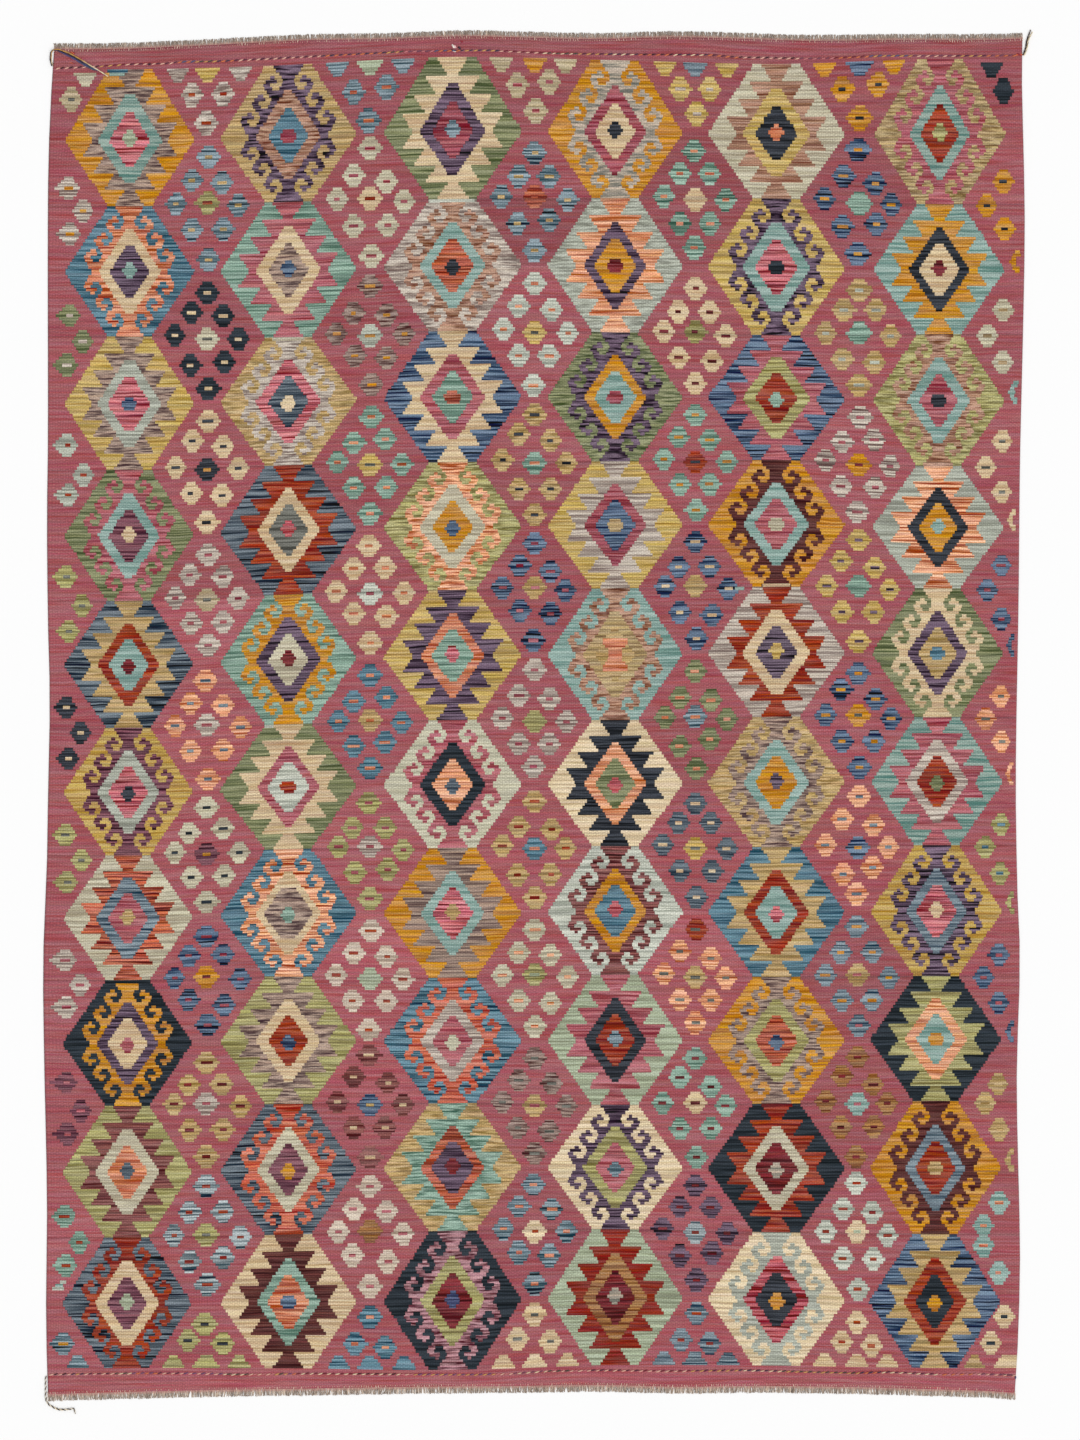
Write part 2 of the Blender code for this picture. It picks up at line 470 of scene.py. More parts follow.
# Knots and tufts left on the cloth: each bit's route in millimetres, its half width along it and
# the shades of its two plies.
looseBits = (
    (((-175, 1425, 3.4), (-170, 1421, 4.4), (-165, 1418, 3.4)), (1.8, 3.8, 2.8), ("white", "blush")),
    (((-179, 1417, 2.6), (-168, 1412, 3.4), (-157, 1414, 3.0)), (0.8, 1.2, 1.0), ("plum", "black")),
    (((-161, 1421, 3.2), (-158, 1418, 4.2), (-156, 1414, 3.2)), (1.8, 2.6, 2.0), ("black", "plum")),
    (((-173, 1412, 3.0), (-169, 1410, 3.6), (-165, 1411, 3.0)), (1.0, 1.6, 1.0), ("blush", "white")),
    (((-157, 1434, 2.6), (-154, 1432, 3.0), (-151, 1430, 2.6)), (1.6, 2.2, 1.6), ("crimson", "crimson")),
    (((-821, 1384, 2.8), (-818, 1383, 3.4), (-815, 1382, 2.8)), (1.6, 2.2, 1.6), ("black", "plum")),
    (((1019, -1402, 2.6), (1023, -1405, 3.0), (1023, -1411, 2.4)), (1.4, 2.0, 1.2), ("plum", "violet")),
    (((990, -1399, 2.2), (1006, -1401, 2.5), (1020, -1403, 2.4)), (1.0, 1.2, 1.2), ("plum", "black")),
    (((1024, 1405, 2.2), (1031, 1404, 2.4), (1038, 1403, 2.0)), (2.4, 3.0, 2.4), ("orange", "crimson")),
    (((-986, 1409, 2.2), (-981, 1408, 2.5), (-975, 1406, 2.2)), (2.0, 2.4, 1.8), ("crimson", "orange")),
    (((-987, 1387, 2.4), (-980, 1386, 2.6), (-974, 1385, 2.4)), (1.2, 1.4, 1.2), ("crimson", "orange")),
)


def makeLooseBits():
    tubes = []
    for number, (route, half, shades) in enumerate(looseBits):
        yarn = {
            "reach": (0.0, 1.0), "half": half, "left": (0, 0), "up": (0, 0),
            "plies": [(shade, shade) for shade in shades],
        }
        spots = smoothRoute(np.array(route) * mm, ply["spacing"])
        tubes += plyTubes(spots, yarn, ply["bitTurnLength"], number)
    piece = joinTubes("knotsAndTufts", tubes, looseYarn)
    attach(piece, "root")


makeLooseBits()
print("yarn ends laid")


# the yarns: darker shade, lighter shade
yarns = {
    "ground": ((151, 79, 85), (165, 95, 101)),
    "ochre": ((164, 106, 30), (208, 150, 66)),
    "straw": ((146, 120, 76), (199, 170, 122)),
    "yellow": ((158, 130, 70), (208, 180, 114)),
    "khaki": ((132, 108, 74), (190, 166, 122)),
    "mustard": ((158, 122, 60), (198, 168, 98)),
    "moss": ((82, 90, 58), (146, 148, 112)),
    "lime": ((122, 114, 70), (182, 176, 122)),
    "cream": ((180, 152, 118), (216, 194, 158)),
    "milk": ((158, 148, 126), (202, 195, 170)),
    "grey": ((132, 116, 108), (202, 190, 176)),
    "mint": ((150, 154, 142), (204, 206, 192)),
    "sage": ((134, 140, 116), (176, 186, 160)),
    "mist": ((136, 138, 126), (182, 186, 172)),
    "seafoam": ((86, 114, 100), (152, 178, 162)),
    "aqua": ((104, 136, 128), (158, 180, 172)),
    "turquoise": ((92, 126, 118), (152, 170, 160)),
    "petrol": ((44, 78, 94), (110, 142, 156)),
    "blue": ((24, 46, 74), (108, 126, 148)),
    "sky": ((56, 78, 88), (140, 156, 164)),
    "denim": ((42, 54, 66), (112, 122, 130)),
    "steel": ((70, 86, 98), (136, 150, 158)),
    "navy": ((18, 22, 28), (64, 68, 76)),
    "indigo": ((30, 36, 68), (84, 94, 126)),
    "ink": ((18, 26, 32), (52, 60, 68)),
    "rose": ((134, 60, 68), (186, 114, 120)),
    "pink": ((122, 34, 46), (218, 134, 140)),
    "crimson": ((118, 40, 52), (172, 98, 106)),
    "rust": ((112, 22, 12), (168, 78, 54)),
    "coral": ((162, 82, 54), (220, 150, 118)),
    "peach": ((174, 102, 68), (244, 184, 146)),
    "plum": ((66, 26, 42), (142, 94, 104)),
    "purple": ((38, 20, 38), (120, 100, 118)),
    "violet": ((34, 20, 34), (122, 106, 122)),
    "maroon": ((72, 8, 14), (132, 56, 60)),
    "wine": ((84, 36, 36), (146, 94, 90)),
    "taupe": ((96, 76, 72), (174, 150, 134)),
    "cocoa": ((92, 66, 62), (162, 140, 130)),
    "lilac": ((124, 120, 110), (190, 174, 156)),
    "dusty": ((122, 80, 62), (188, 150, 128)),
    "mauve": ((98, 54, 62), (186, 140, 146)),
    "slate": ((76, 76, 70), (126, 126, 118)),
    "brown": ((112, 66, 36), (172, 128, 84)),
    "brick": ((122, 48, 32), (200, 114, 88)),
    "salmon": ((150, 54, 38), (214, 126, 102)),
    "umber": ((60, 20, 20), (106, 62, 58)),
    "bone": ((168, 164, 142), (206, 202, 178)),
    "ivory": ((190, 168, 134), (230, 210, 176)),
    "oxide": ((110, 24, 14), (146, 56, 46)),
    "linen": ((152, 136, 106), (194, 178, 148)),
    "oat": ((168, 150, 134), (214, 198, 180)),
    "raspberry": ((130, 36, 46), (192, 104, 110)),
    "cloud": ((84, 98, 104), (168, 178, 180)),
}

# how a yarn is marked in the charts below: nothing is an even yarn, = streaks strongly,
# ~ was spun from mixed wool and is mottled
yarnMarks = {"": (1.35, 0.0), "=": (1.75, 0.0), "~": (1.50, 0.6)}

# every row of medallions from the top end, left to right: the figure, then its yarns
# from the rim to the middle
medallionRows = (
    (
        "stair ochre taupe~ turquoise pink sage",
        "hook straw purple~ dusty~ petrol crimson",
        "stair moss cream purple crimson sky",
        "hook ochre lilac~ crimson cream navy",
        "stair milk dusty yellow navy coral",
        "hook khaki~ rose turquoise rust lime",
    ),
    (
        "hook petrol coral= cream purple aqua",
        "stair seafoam rose cream taupe~ blue",
        "hook grey~ dusty~ aqua brick navy",
        "stair mist~ peach purple ochre maroon",
        "hook yellow purple~ aqua pink ink",
        "stair aqua ochre navy cream maroon",
    ),
    (
        "stair yellow taupe~ mist pink blue",
        "hook straw~ grey~ pink denim ivory",
        "stair blue= cream rose seafoam brick",
        "hook moss~ purple~ ochre aqua crimson",
        "stair blue= rose lime rust seafoam",
        "hook lime~ dusty~ aqua rose navy",
    ),
    (
        "hook moss rose aqua plum cream",
        "stair denim= rust cream slate raspberry",
        "hook lime~ peach~ milk ochre blue",
        "stair yellow grey crimson blue khaki",
        "hook ochre umber aqua rose milk",
        "stair mist peach= navy ochre aqua",
    ),
    (
        "stair denim= straw rust aqua maroon",
        "hook seafoam ochre purple milk maroon",
        "stair yellow purple coral seafoam pink",
        "hook aqua dusty~ khaki straw coral",
        "stair grey rust cream violet yellow",
        "hook moss cream purple straw petrol",
    ),
    (
        "hook mustard plum mist pink navy",
        "stair moss cream rose mint rust",
        "hook bone rose ink peach denim",
        "stair ivory navy peach moss raspberry",
        "hook straw~ taupe~ aqua ochre violet",
        "stair turquoise rose grey rust moss",
    ),
    (
        "stair milk brick= steel= rose straw",
        "hook petrol peach= cream taupe~ seafoam",
        "stair ochre taupe aqua pink straw",
        "hook mint wine= ochre petrol raspberry",
        "stair petrol straw rust aqua pink",
        "hook mustard purple= steel pink cream",
    ),
    (
        "hook ink ochre purple cream rose",
        "stair lime taupe~ cream rust blue",
        "hook petrol= salmon grey rose bone",
        "stair sage rose navy rust sky",
        "hook ochre taupe~ lime brick blue",
        "stair ink lime peach aqua ochre",
    ),
    (
        "stair lime wine milk coral denim",
        "hook denim= salmon milk plum ochre",
        "stair straw~ seafoam~ brick purple maroon",
        "hook ivory purple lime rose sky",
        "stair ink rust milk maroon lilac",
        "hook ochre umber steel rust straw",
    ),
    (
        "hook denim= rust cream plum sage",
        "stair cream umber seafoam coral blue",
        "hook ink mauve~ lime maroon indigo",
        "stair sage oxide brown maroon lilac",
        "hook ivory mist raspberry= navy ochre",
        "stair blue= straw rust ink ochre",
    ),
)

# the spotted spaces between them, from the top end: left margin, five spaces, right margin;
# in each the spots' yarn and their bar, then the middle spot's yarn and its bar
spotRows = (
    "linen slate, grey~ rust yellow, sky coral sage, linen rose ochre, yellow grey steel,"
    " ochre navy blue=, ink",
    "grey= ochre, sky= straw lime rust, milk crimson cream rust, sky= straw brick rust,"
    " seafoam= coral cream, blue= ochre seafoam, ochre navy",
    "moss grey, ink cream milk slate, cocoa~ ochre mist ochre, mint coral yellow slate,"
    " cream maroon lime maroon, straw mist seafoam, milk khaki",
    "mist rust, cream navy navy ochre, seafoam coral yellow slate, straw~ navy seafoam coral,"
    " seafoam ochre rust navy, grey= crimson ochre maroon, cream slate",
    "lime slate, grey crimson linen slate, cream coral mint crimson, blue= crimson straw rose,"
    " blue= cream straw, yellow purple seafoam, blue= crimson",
    "navy cream, peach steel grey crimson, petrol coral straw coral, grey crimson lime,"
    " moss coral sky= coral, blue= ochre ochre slate, peach slate",
    "lime slate, milk ink plum ochre, lime crimson grey crimson, straw rust petrol coral,"
    " denim cream yellow slate, peach steel blue= ochre, lime petrol",
    "grey crimson, blue= crimson ochre maroon, oat rust sage, milk peach lime sage,"
    " peach slate straw slate, steel= ochre straw rose, blue crimson",
    "plum rose, straw maroon grey rose, wine cream blue= yellow, cocoa~ slate straw rose,"
    " seafoam maroon cream maroon, brown maroon aqua rose, straw straw",
    "seafoam rust, cloud= rust lime slate, oat rose brown, sky= coral ivory rust,"
    " purple maroon cloud rust, mint rust cream sage, aqua coral",
    "sky= ochre, lime navy lime, petrol= coral petrol=, cream slate cream, steel= rust steel=,"
    " cream rust cream, cream ink",
)


# Where the weave lies. A step is two warps wide; rows and steps are counted from the first
# column of medallions and from the top of the first row of them.
weave = {
    "stepsApart": 70,  # from one column of medallions to the next
    "halfSteps": 29.5,  # half a medallion's width
    "rimSteps": 10.5,  # half the width of its first row
    "rowsHigh": 40,
    "leftSteps": -35,
    "rightSteps": 388,
    "endRows": 7,  # plain rows at each end
    "twinedRow": 2,  # rows from the medallions to the twined row
    "cellsPerStep": 2,
    "slips": 0.10,  # how often a turn falls one warp off
    "thickness": 3.0,  # millimetres, as the next two
    "ripple": 0.35,
    "rowWander": 0.45,
    "swings": (4.1, 9.7, 23.0),  # how long the waves of a wandering row are, in steps
}

# each column: its middle and its half width across the rug, then where its medallions start
# and end along the warp, all in millimetres
columns = (
    (-862, 136, (1373, 1082, 805, 521, 243, -27, -298, -563, -830, -1110, -1387)),
    (-522, 143, (1382, 1091, 803, 532, 257, -19, -284, -555, -826, -1103, -1388)),
    (-173, 145, (1399, 1097, 817, 538, 266, -10, -282, -558, -824, -1096, -1391)),
    (172.5, 142, (1392, 1099, 814, 540, 270, -10, -278, -551, -828, -1092, -1381)),
    (515, 144, (1384, 1098, 808, 542, 273, -3, -280, -556, -825, -1099, -1382)),
    (857, 138, (1395, 1086, 810, 530, 270, -4, -276, -554, -820, -1102, -1387)),
)
sag = {"firstRank": 6.4, "others": 1.7}  # how far a medallion's widest row lies below its middle
columnLean = {0: 7, 5: 12}  # the outer columns drift this far left from top to bottom

# where the two twined rows run: across, along, in millimetres
twinedTop = (
    (-1025, 1374), (-920, 1379), (-865, 1383), (-775, 1385), (-755, 1388), (-660, 1390),
    (-560, 1395), (-448, 1401), (-350, 1406), (-280, 1410), (-185, 1412), (-100, 1413),
    (-23, 1409), (55, 1406), (210, 1404), (375, 1403), (430, 1398), (590, 1395),
    (650, 1397), (730, 1401), (900, 1401), (1038, 1402),
)
twinedBottom = (
    (-1036, -1401), (-963, -1400), (-825, -1398), (-707, -1399), (-628, -1401), (-472, -1399),
    (-230, -1401), (-112, -1401), (-45, -1399), (25, -1394), (148, -1392), (287, -1394),
    (444, -1392), (562, -1395), (680, -1398), (752, -1396), (863, -1401), (948, -1400),
    (1022, -1403),
)

lastRow = weave["rowsHigh"] * len(medallionRows)
firstLine, lastLine = -weave["endRows"], lastRow + weave["endRows"]


def clothEdges():
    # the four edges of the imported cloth, each as places along it and how far out it lies
    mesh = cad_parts["kilim"].data
    points = np.array([vertex.co for vertex in mesh.vertices])
    points = np.unique(np.round(points[:, :2], 5), axis=0)
    # further out than these, in metres, the slab has points on its edges only
    left, right = points[points[:, 0] < -1.0], points[points[:, 0] > 1.0]
    bottom, top = points[points[:, 1] < -1.4], points[points[:, 1] > 1.4]
    sides = {"left": (left, 1), "right": (right, 1), "top": (top, 0), "bottom": (bottom, 0)}
    edges = {}
    for name, (side, along) in sides.items():
        side = side[np.argsort(side[:, along])]
        edges[name] = (side[:, along], side[:, 1 - along])
    return edges


edges = clothEdges()


def smoothAcross(places, values, where):
    # a smooth curve through the columns' values, level past the outer ones
    slopes = np.gradient(values, places)
    slopes[0] = slopes[-1] = 0.0
    span = np.clip(np.searchsorted(places, where) - 1, 0, len(places) - 2)
    width = places[span + 1] - places[span]
    t = np.clip((where - places[span]) / width, 0, 1)
    return (
        (2 * t**3 - 3 * t**2 + 1) * values[span]
        + (t**3 - 2 * t**2 + t) * width * slopes[span]
        + (3 * t**2 - 2 * t**3) * values[span + 1]
        + (t**3 - t**2) * width * slopes[span + 1]
    )


columnSteps = np.arange(len(columns)) * float(weave["stepsApart"])


def fieldHeight(line, steps):
    # the widest row of a medallion lies a little below halfway between its first and its last
    starts = np.arange(len(medallionRows) + 1) * weave["rowsHigh"]
    heights = np.array([np.interp(line, starts, column[2]) for column in columns])
    rank, share = divmod(line / weave["rowsHigh"], 1)
    heights -= sag["firstRank" if rank == 0 else "others"] * (1 - abs(2 * share - 1))
    return smoothAcross(columnSteps, heights, steps) * mm


def acrossKnots(line, leftEdge, rightEdge):
    down = min(max(line / lastRow, 0), 1)
    steps, places = [weave["leftSteps"]], [leftEdge]
    for index, (middle, half, _) in enumerate(columns):
        middle = middle + columnLean.get(index, 0) * (0.5 - down)
        for side in (-1, 1):
            steps.append(columnSteps[index] + side * weave["halfSteps"])
            places.append((middle + side * half) * mm)
    return steps + [weave["rightSteps"]], places + [rightEdge]


def tableHeight(table, x):
    return np.interp(x, [row[0] * mm for row in table], [row[1] * mm for row in table])


def linePlaces(line, steps, waver):
    # the x and y of one weft line at these steps
    steps = np.asarray(steps, float)
    inField = min(max(line, 0), lastRow)
    y = fieldHeight(inField, steps)
    ends = y[0], y[-1]
    # twice, because where a selvedge lies depends on how high the row ends there
    for _ in range(2):
        leftEdge = np.interp(ends[0], *edges["left"])
        rightEdge = np.interp(ends[1], *edges["right"])
        x = np.interp(steps, *acrossKnots(inField, leftEdge, rightEdge))
        if line != inField:
            past, edge, twined = (
                (-line, "top", twinedTop) if line < 0 else (line - lastRow, "bottom", twinedBottom)
            )
            start = fieldHeight(inField, steps)
            middle, end = tableHeight(twined, x), np.interp(x, *edges[edge])
            first, rest = weave["twinedRow"], weave["endRows"] - weave["twinedRow"]
            y = np.where(
                past <= first,
                start + (middle - start) * past / first,
                middle + (end - middle) * max(past - first, 0) / rest,
            )
        ends = y[0], y[-1]
    if firstLine < line < lastLine:
        swing = sum(
            waver.uniform(-1, 1) * np.sin(steps / length + waver.uniform(0, 6.3))
            for length in weave["swings"]
        )
        y = y + swing * weave["rowWander"] * mm
    return x, y


# the chart: which yarn lies where, and in which area, cell by cell in each row
cellsPerStep = weave["cellsPerStep"]
cells = int((weave["rightSteps"] - weave["leftSteps"]) * cellsPerStep)
chart = {name: np.zeros((lastLine - firstLine, cells), int) for name in ("yarn", "area")}
yarnKinds = ["ground"]
areaCount = 0
hand = random.Random("weaver")


def yarnIndex(word):
    if word not in yarnKinds:
        yarnKinds.append(word)
    return yarnKinds.index(word)


def newArea():
    global areaCount
    areaCount += 1
    return areaCount


def cellAt(steps):
    return int(round((steps - weave["leftSteps"]) * cellsPerStep))


def lay(row, start, end, yarn, area):
    # lays one pass of yarn between two steps; now and then a turn falls one warp off
    if not firstLine <= row < lastLine:
        return
    wander = [hand.choice((-1, 1)) if hand.random() < weave["slips"] else 0 for _ in range(2)]
    first = max(cellAt(start) + wander[0], 0)
    last = min(cellAt(end) + wander[1], cells)
    if last > first:
        chart["yarn"][row - firstLine, first:last] = yarn
        chart["area"][row - firstLine, first:last] = area


def layBoth(row, middle, inner, outer, yarn, area):
    # the same pass on both sides of a figure's middle
    lay(row, middle + inner, middle + outer, yarn, area)
    lay(row, middle - outer, middle - inner, yarn, area)


# the two figures' half widths in steps, by tiers of rows that each lie further out than the last
figures = {
    "tier": 5,  # rows to a tier, and steps from tier to tier
    "firstHalf": 6.5,
    "bareRows": 3,  # rows before the first hook
    "trunk": (3, 2.5, 3, 4, 9.5),
    "hook": ((6, 8), (5, 10), (8, 11), (7, 10.5), None),
    "waist": {18: 19, 19: 17.5},
}


def stairFigure(row, middle, fold, yarn, area):
    tier, rung = divmod(fold, figures["tier"])
    half = figures["firstHalf"] + figures["tier"] * tier - rung
    lay(row, middle - half, middle + half, yarn, area)


def hookFigure(row, middle, fold, yarn, area):
    # a trunk with hooks that curl outwards, one pair to each tier
    tier, rung = divmod(fold - figures["bareRows"], figures["tier"])
    shift = figures["tier"] * tier
    trunk, hook = figures["trunk"][rung] + shift, figures["hook"][rung]
    if fold < figures["bareRows"]:
        trunk, hook = figures["firstHalf"] - fold, None
    elif fold in figures["waist"]:
        trunk, hook = figures["waist"][fold], None
    lay(row, middle - trunk, middle + trunk, yarn, area)
    if hook:
        layBoth(row, middle, hook[0] + shift, hook[1] + shift, yarn, area)


medallion = {
    "zoneStarts": {2: 7, 3: 12},  # how many rows in from the rim's first row the inner hexagons start
    "zoneHalf": 1.5,  # half their width there
    "wideColumns": (0, 4),  # where they are half a step wider
    "wider": {(6, 1, 3): 1.5, (0, 0, 2): 0.5, (0, 4, 2): 0.5},  # rank, column and zone
    "centres": (
        {18: 1.5, 19: 2.5, 20: 3.5, 21: 2.5, 22: 1.5},
        {17: 1.5, 18: 2.5, 19: 3.5, 20: 2.5, 21: 1.5},
        {18: 2.5, 19: 3.5, 20: 3.5, 21: 2.5},
    ),
    "hourglassAt": (4, 3),  # the one whose middle is no spot but two cups
    "hourglass": {15: 5.5, 16: 5.5, 17: 4.5, 18: 3, 19: 3},
}


def layMedallion(rank, index, words):
    figure, *names = words.split()
    drawFigure = stairFigure if figure == "stair" else hookFigure
    yarnsHere = [yarnIndex(name) for name in names]
    areas = [newArea() for _ in names]
    middle = columnSteps[index]
    column = 0.5 * (index in medallion["wideColumns"])
    extra = {
        zone: hand.choice((0, 0, 0.5)) + medallion["wider"].get((rank, index, zone), 0) + column
        for zone in medallion["zoneStarts"]
    }
    centre = hand.choice(medallion["centres"])
    for row in range(weave["rowsHigh"]):
        fold = min(row, weave["rowsHigh"] - 1 - row)
        at = rank * weave["rowsHigh"] + row
        half = weave["rimSteps"] + fold
        lay(at, middle - half, middle + half, yarnsHere[0], areas[0])
        drawFigure(at, middle, fold, yarnsHere[1], areas[1])
        for zone, start in medallion["zoneStarts"].items():
            if fold >= start:
                half = medallion["zoneHalf"] + fold - start + extra[zone]
                lay(at, middle - half, middle + half, yarnsHere[zone], areas[zone])
        half = centre.get(row)
        if (rank, index) == medallion["hourglassAt"]:
            half = medallion["hourglass"].get(fold)
        if half:
            lay(at, middle - half, middle + half, yarnsHere[4], areas[4])


spot = {
    "halves": (5, 4, 3, 2),  # half its width in its middle row, and in each row out from there
    "whole": (-3, 4),  # its rows from its middle one
    "upperHalf": (-3, 1),
    "lowerHalf": (0, 4),
    "barHalves": (1.5, 1.5, 2),
    # in a space between two columns: steps right of its middle, rows below the boundary
    "places": ((0, 15), (0, -15), (6.5, 7), (-6.5, 7), (6.5, -7), (-6.5, -8), (13.5, 0), (-13.5, -1)),
    # beside the outer columns: steps from the column's middle, rows below the boundary
    "leftMargin": ((-28.2, -7), (-21.6, 1), (-28.2, 8)),
    "rightMargin": ((29.2, -7), (22, 0), (29.2, 8)),
}

# half spots by the right selvedge, open to the right
crescent = {
    "ranks": range(1, 9),
    "right": 35.5,  # steps right of the last column's middle
    "below": 17,  # rows below the boundary
    "share": 0.8,  # of a spot's width
    "tips": 0.5,
    "hollow": -1.2,
}

# margins where the spots stand elsewhere: rank and space
oddMargins = {
    (0, 0): ((-26.8, 8),),
    (0, 6): ((29.2, 8),),
    (9, 6): ((29.2, -10), (22.2, -3), (22, 3), (29.2, 11)),
    (10, 0): ((-28.8, -8),),
    (10, 6): ((31.4, -16), (25.4, -8)),
}

# spots cut off by the ends of the field: steps from the left column's middle, first row, yarn,
# half widths row by row
cutSpots = (
    (-20.4, 1, "milk", (5, 4, 3, 2)),
    (373.5, 1, "ink", (5, 4, 3, 2)),
    (-22.4, 396, "sky=", (2, 3, 4, 5)),
    (368.2, 396, "straw", (1.5, 2.5, 3.5, 4.7)),
)

# small odd figures, pass by pass: row, first step, last step, yarn
passes = (
    (0, -10.5, -1, "petrol"), (1, -9.5, -2.5, "turquoise"),
    (396, 380.7, 388, "cream"), (397, 379.2, 388, "cream"), (398, 378, 388, "cream"),
    (399, 377, 388, "cream"),
    (373, -30.3, -28.2, "mint"), (374, -31.8, -28.8, "aqua"), (375, -32.8, -29.6, "mint"),
    (40, 130, 150, "mint"), (80, 63, 77, "milk"), (200, 59.5, 63.5, "mint"),
    (159, 274, 286, "cream"), (160, 262, 266, "aqua"), (280, -10.5, 10.5, "ink"),
)


# single spots of another yarn: rank, space and place
oddSpots = {
    (7, 4, 1): ("rust", "slate"), (7, 5, 0): ("steel=", "crimson"),
}


def laySpot(middle, centreRow, words, rows=spot["whole"]):
    yarn, area = yarnIndex(words[0]), newArea()
    for offset in range(*rows):
        half = spot["halves"][abs(offset)]
        lay(centreRow + offset, middle - half, middle + half, yarn, area)
    if len(words) > 1 and rows == spot["whole"]:
        half = hand.choice(spot["barHalves"])
        lay(centreRow, middle - half, middle + half, yarnIndex(words[1]), newArea())


def layOnBoundary(rank, middle, row, words):
    # the spots between two ranks: at the ends of the field only the half inside it is woven
    start = rank * weave["rowsHigh"]
    if rank == 0:
        laySpot(middle, start, words, spot["lowerHalf"])
    elif rank == len(medallionRows):
        laySpot(middle, start - 1, words, spot["upperHalf"])
    else:
        laySpot(middle, row, words)


def layCrescent(row, words):
    middle, yarn, area = columnSteps[-1] + crescent["right"], yarnIndex(words[0]), newArea()
    for offset in range(*spot["whole"]):
        half = crescent["share"] * spot["halves"][abs(offset)]
        inner = crescent["tips"] if abs(offset) > 1 else crescent["hollow"]
        lay(row + offset, middle - half, middle + inner, yarn, area)


def laySpace(rank, gap, words):
    start = rank * weave["rowsHigh"]
    between = 1 <= gap < len(columns)
    if between:
        middle, places = columnSteps[gap - 1] + weave["stepsApart"] / 2, spot["places"]
    else:
        side, middle = ("leftMargin", columnSteps[0]) if gap == 0 else ("rightMargin", columnSteps[-1])
        places = oddMargins.get((rank, gap), spot[side])
    if gap == len(columns) and rank in crescent["ranks"]:
        layCrescent(start + crescent["below"], ("aqua",) if rank == 2 else words[:2])
    for number, (across, down) in enumerate(places):
        wander = hand.choice((0, 0, 0, 1, -1) if abs(down) > 1 else (0,)), hand.choice((0, 0, 0.5, -0.5))
        if (rank, gap) in oddMargins:
            wander = 0, 0
        row, place = start + down + wander[0], middle + across + wander[1]
        main = oddSpots.get((rank, gap, number), words[:2])
        if between and down in (0, -1):
            layOnBoundary(rank, place, row, main)
        elif 0 < row < lastRow:
            laySpot(place, row, main)
    if between:
        wander = hand.choice((0, 1)) if 0 < rank < len(medallionRows) else 0
        layOnBoundary(rank, middle, start - wander, words[2:])


def layOddments():
    for middle, first, word, halves in cutSpots:
        yarn, area = yarnIndex(word), newArea()
        for row, half in enumerate(halves):
            lay(first + row, middle - half, middle + half, yarn, area)
    for row, first, last, word in passes:
        lay(row, first, last, yarnIndex(word), newArea())


# how light the ground is in the spaces that stand out: rank and space, then the part above the
# middle of the space and the part below it
groundTones = {
    (0, 0): (0.90, 0.90), (0, 1): (1.0, 0.93), (0, 2): (1.0, 0.87), (0, 3): (1.0, 0.88),
    (0, 4): (1.0, 0.89), (0, 5): (1.0, 0.90), (0, 6): (0.94, 0.94),
    (1, 2): (0.90, 0.98), (1, 3): (0.95, 0.78), (1, 4): (0.82, 0.90), (1, 5): (0.84, 0.94),
    (2, 1): (0.92, 1.0), (2, 2): (0.90, 1.0), (3, 2): (0.94, 0.93), (3, 3): (1.0, 0.90),
    (4, 1): (0.95, 1.14), (4, 3): (0.95, 0.90), (4, 4): (0.92, 0.98), (5, 1): (1.04, 1.08),
    (5, 4): (1.0, 0.90), (6, 2): (1.08, 1.0), (6, 3): (1.0, 1.10), (6, 1): (1.04, 1.04),
    (7, 2): (1.14, 1.06), (7, 4): (1.12, 1.0), (7, 5): (0.90, 0.92), (8, 2): (1.06, 1.0),
    (8, 5): (0.93, 0.95), (9, 0): (1.07, 1.03), (9, 3): (0.95, 0.93), (9, 4): (1.05, 1.0),
    (10, 3): (0.98, 1.0),
}
skirtTones = (0.90, 1.05)  # the plain rows past the top and the bottom medallions
toneWander = 0.03
areaTones = {}


def layGround():
    # each space between the medallions was woven on its own, so its streaks are its own
    half = weave["rowsHigh"] // 2
    bounds = [weave["leftSteps"], *columnSteps, weave["rightSteps"]]
    for rank in range(len(medallionRows) + 1):
        for gap, (left, right) in enumerate(zip(bounds, bounds[1:])):
            for part in (0, 1):
                area = newArea()
                tone = groundTones.get((rank, gap), (1.0, 1.0))[part]
                areaTones[area] = tone + hand.uniform(-toneWander, toneWander)
                top = rank * weave["rowsHigh"] - half + half * part - firstLine
                rows = slice(max(top, -firstLine), max(top + half, 0))
                chart["area"][rows, cellAt(left):cellAt(right)] = area
    for rows, tone in zip((slice(0, -firstLine), slice(lastRow - firstLine, None)), skirtTones):
        area = newArea()
        areaTones[area] = tone
        chart["area"][rows] = area


layGround()
for rank, row in enumerate(spotRows):
    for gap, words in enumerate(row.split(",")):
        laySpace(rank, gap, words.split())
for rank, row in enumerate(medallionRows):
    for index, words in enumerate(row):
        layMedallion(rank, index, words)
layOddments()
print("chart drawn:", len(yarnKinds), "yarns")


# the cloth's own mesh, woven from the chart
cloth = {
    "selvedge": (1, 3),  # warps from the edge at which it has rounded off
    "selvedgeShare": (0.86, 1.0),  # of the thickness there
    "longestRun": 24,  # warps; a longer run gets a point between
    "bakeGap": 0.012,
}


def runsOf(row):
    yarn, area = chart["yarn"][row], chart["area"][row]
    changes = np.flatnonzero((yarn[1:] != yarn[:-1]) | (area[1:] != area[:-1])) + 1
    return [0, *changes.tolist(), cells]


rowRuns = [runsOf(row) for row in range(lastLine - firstLine)]
middleCell = cellAt(columnSteps[2] + weave["stepsApart"] / 2)


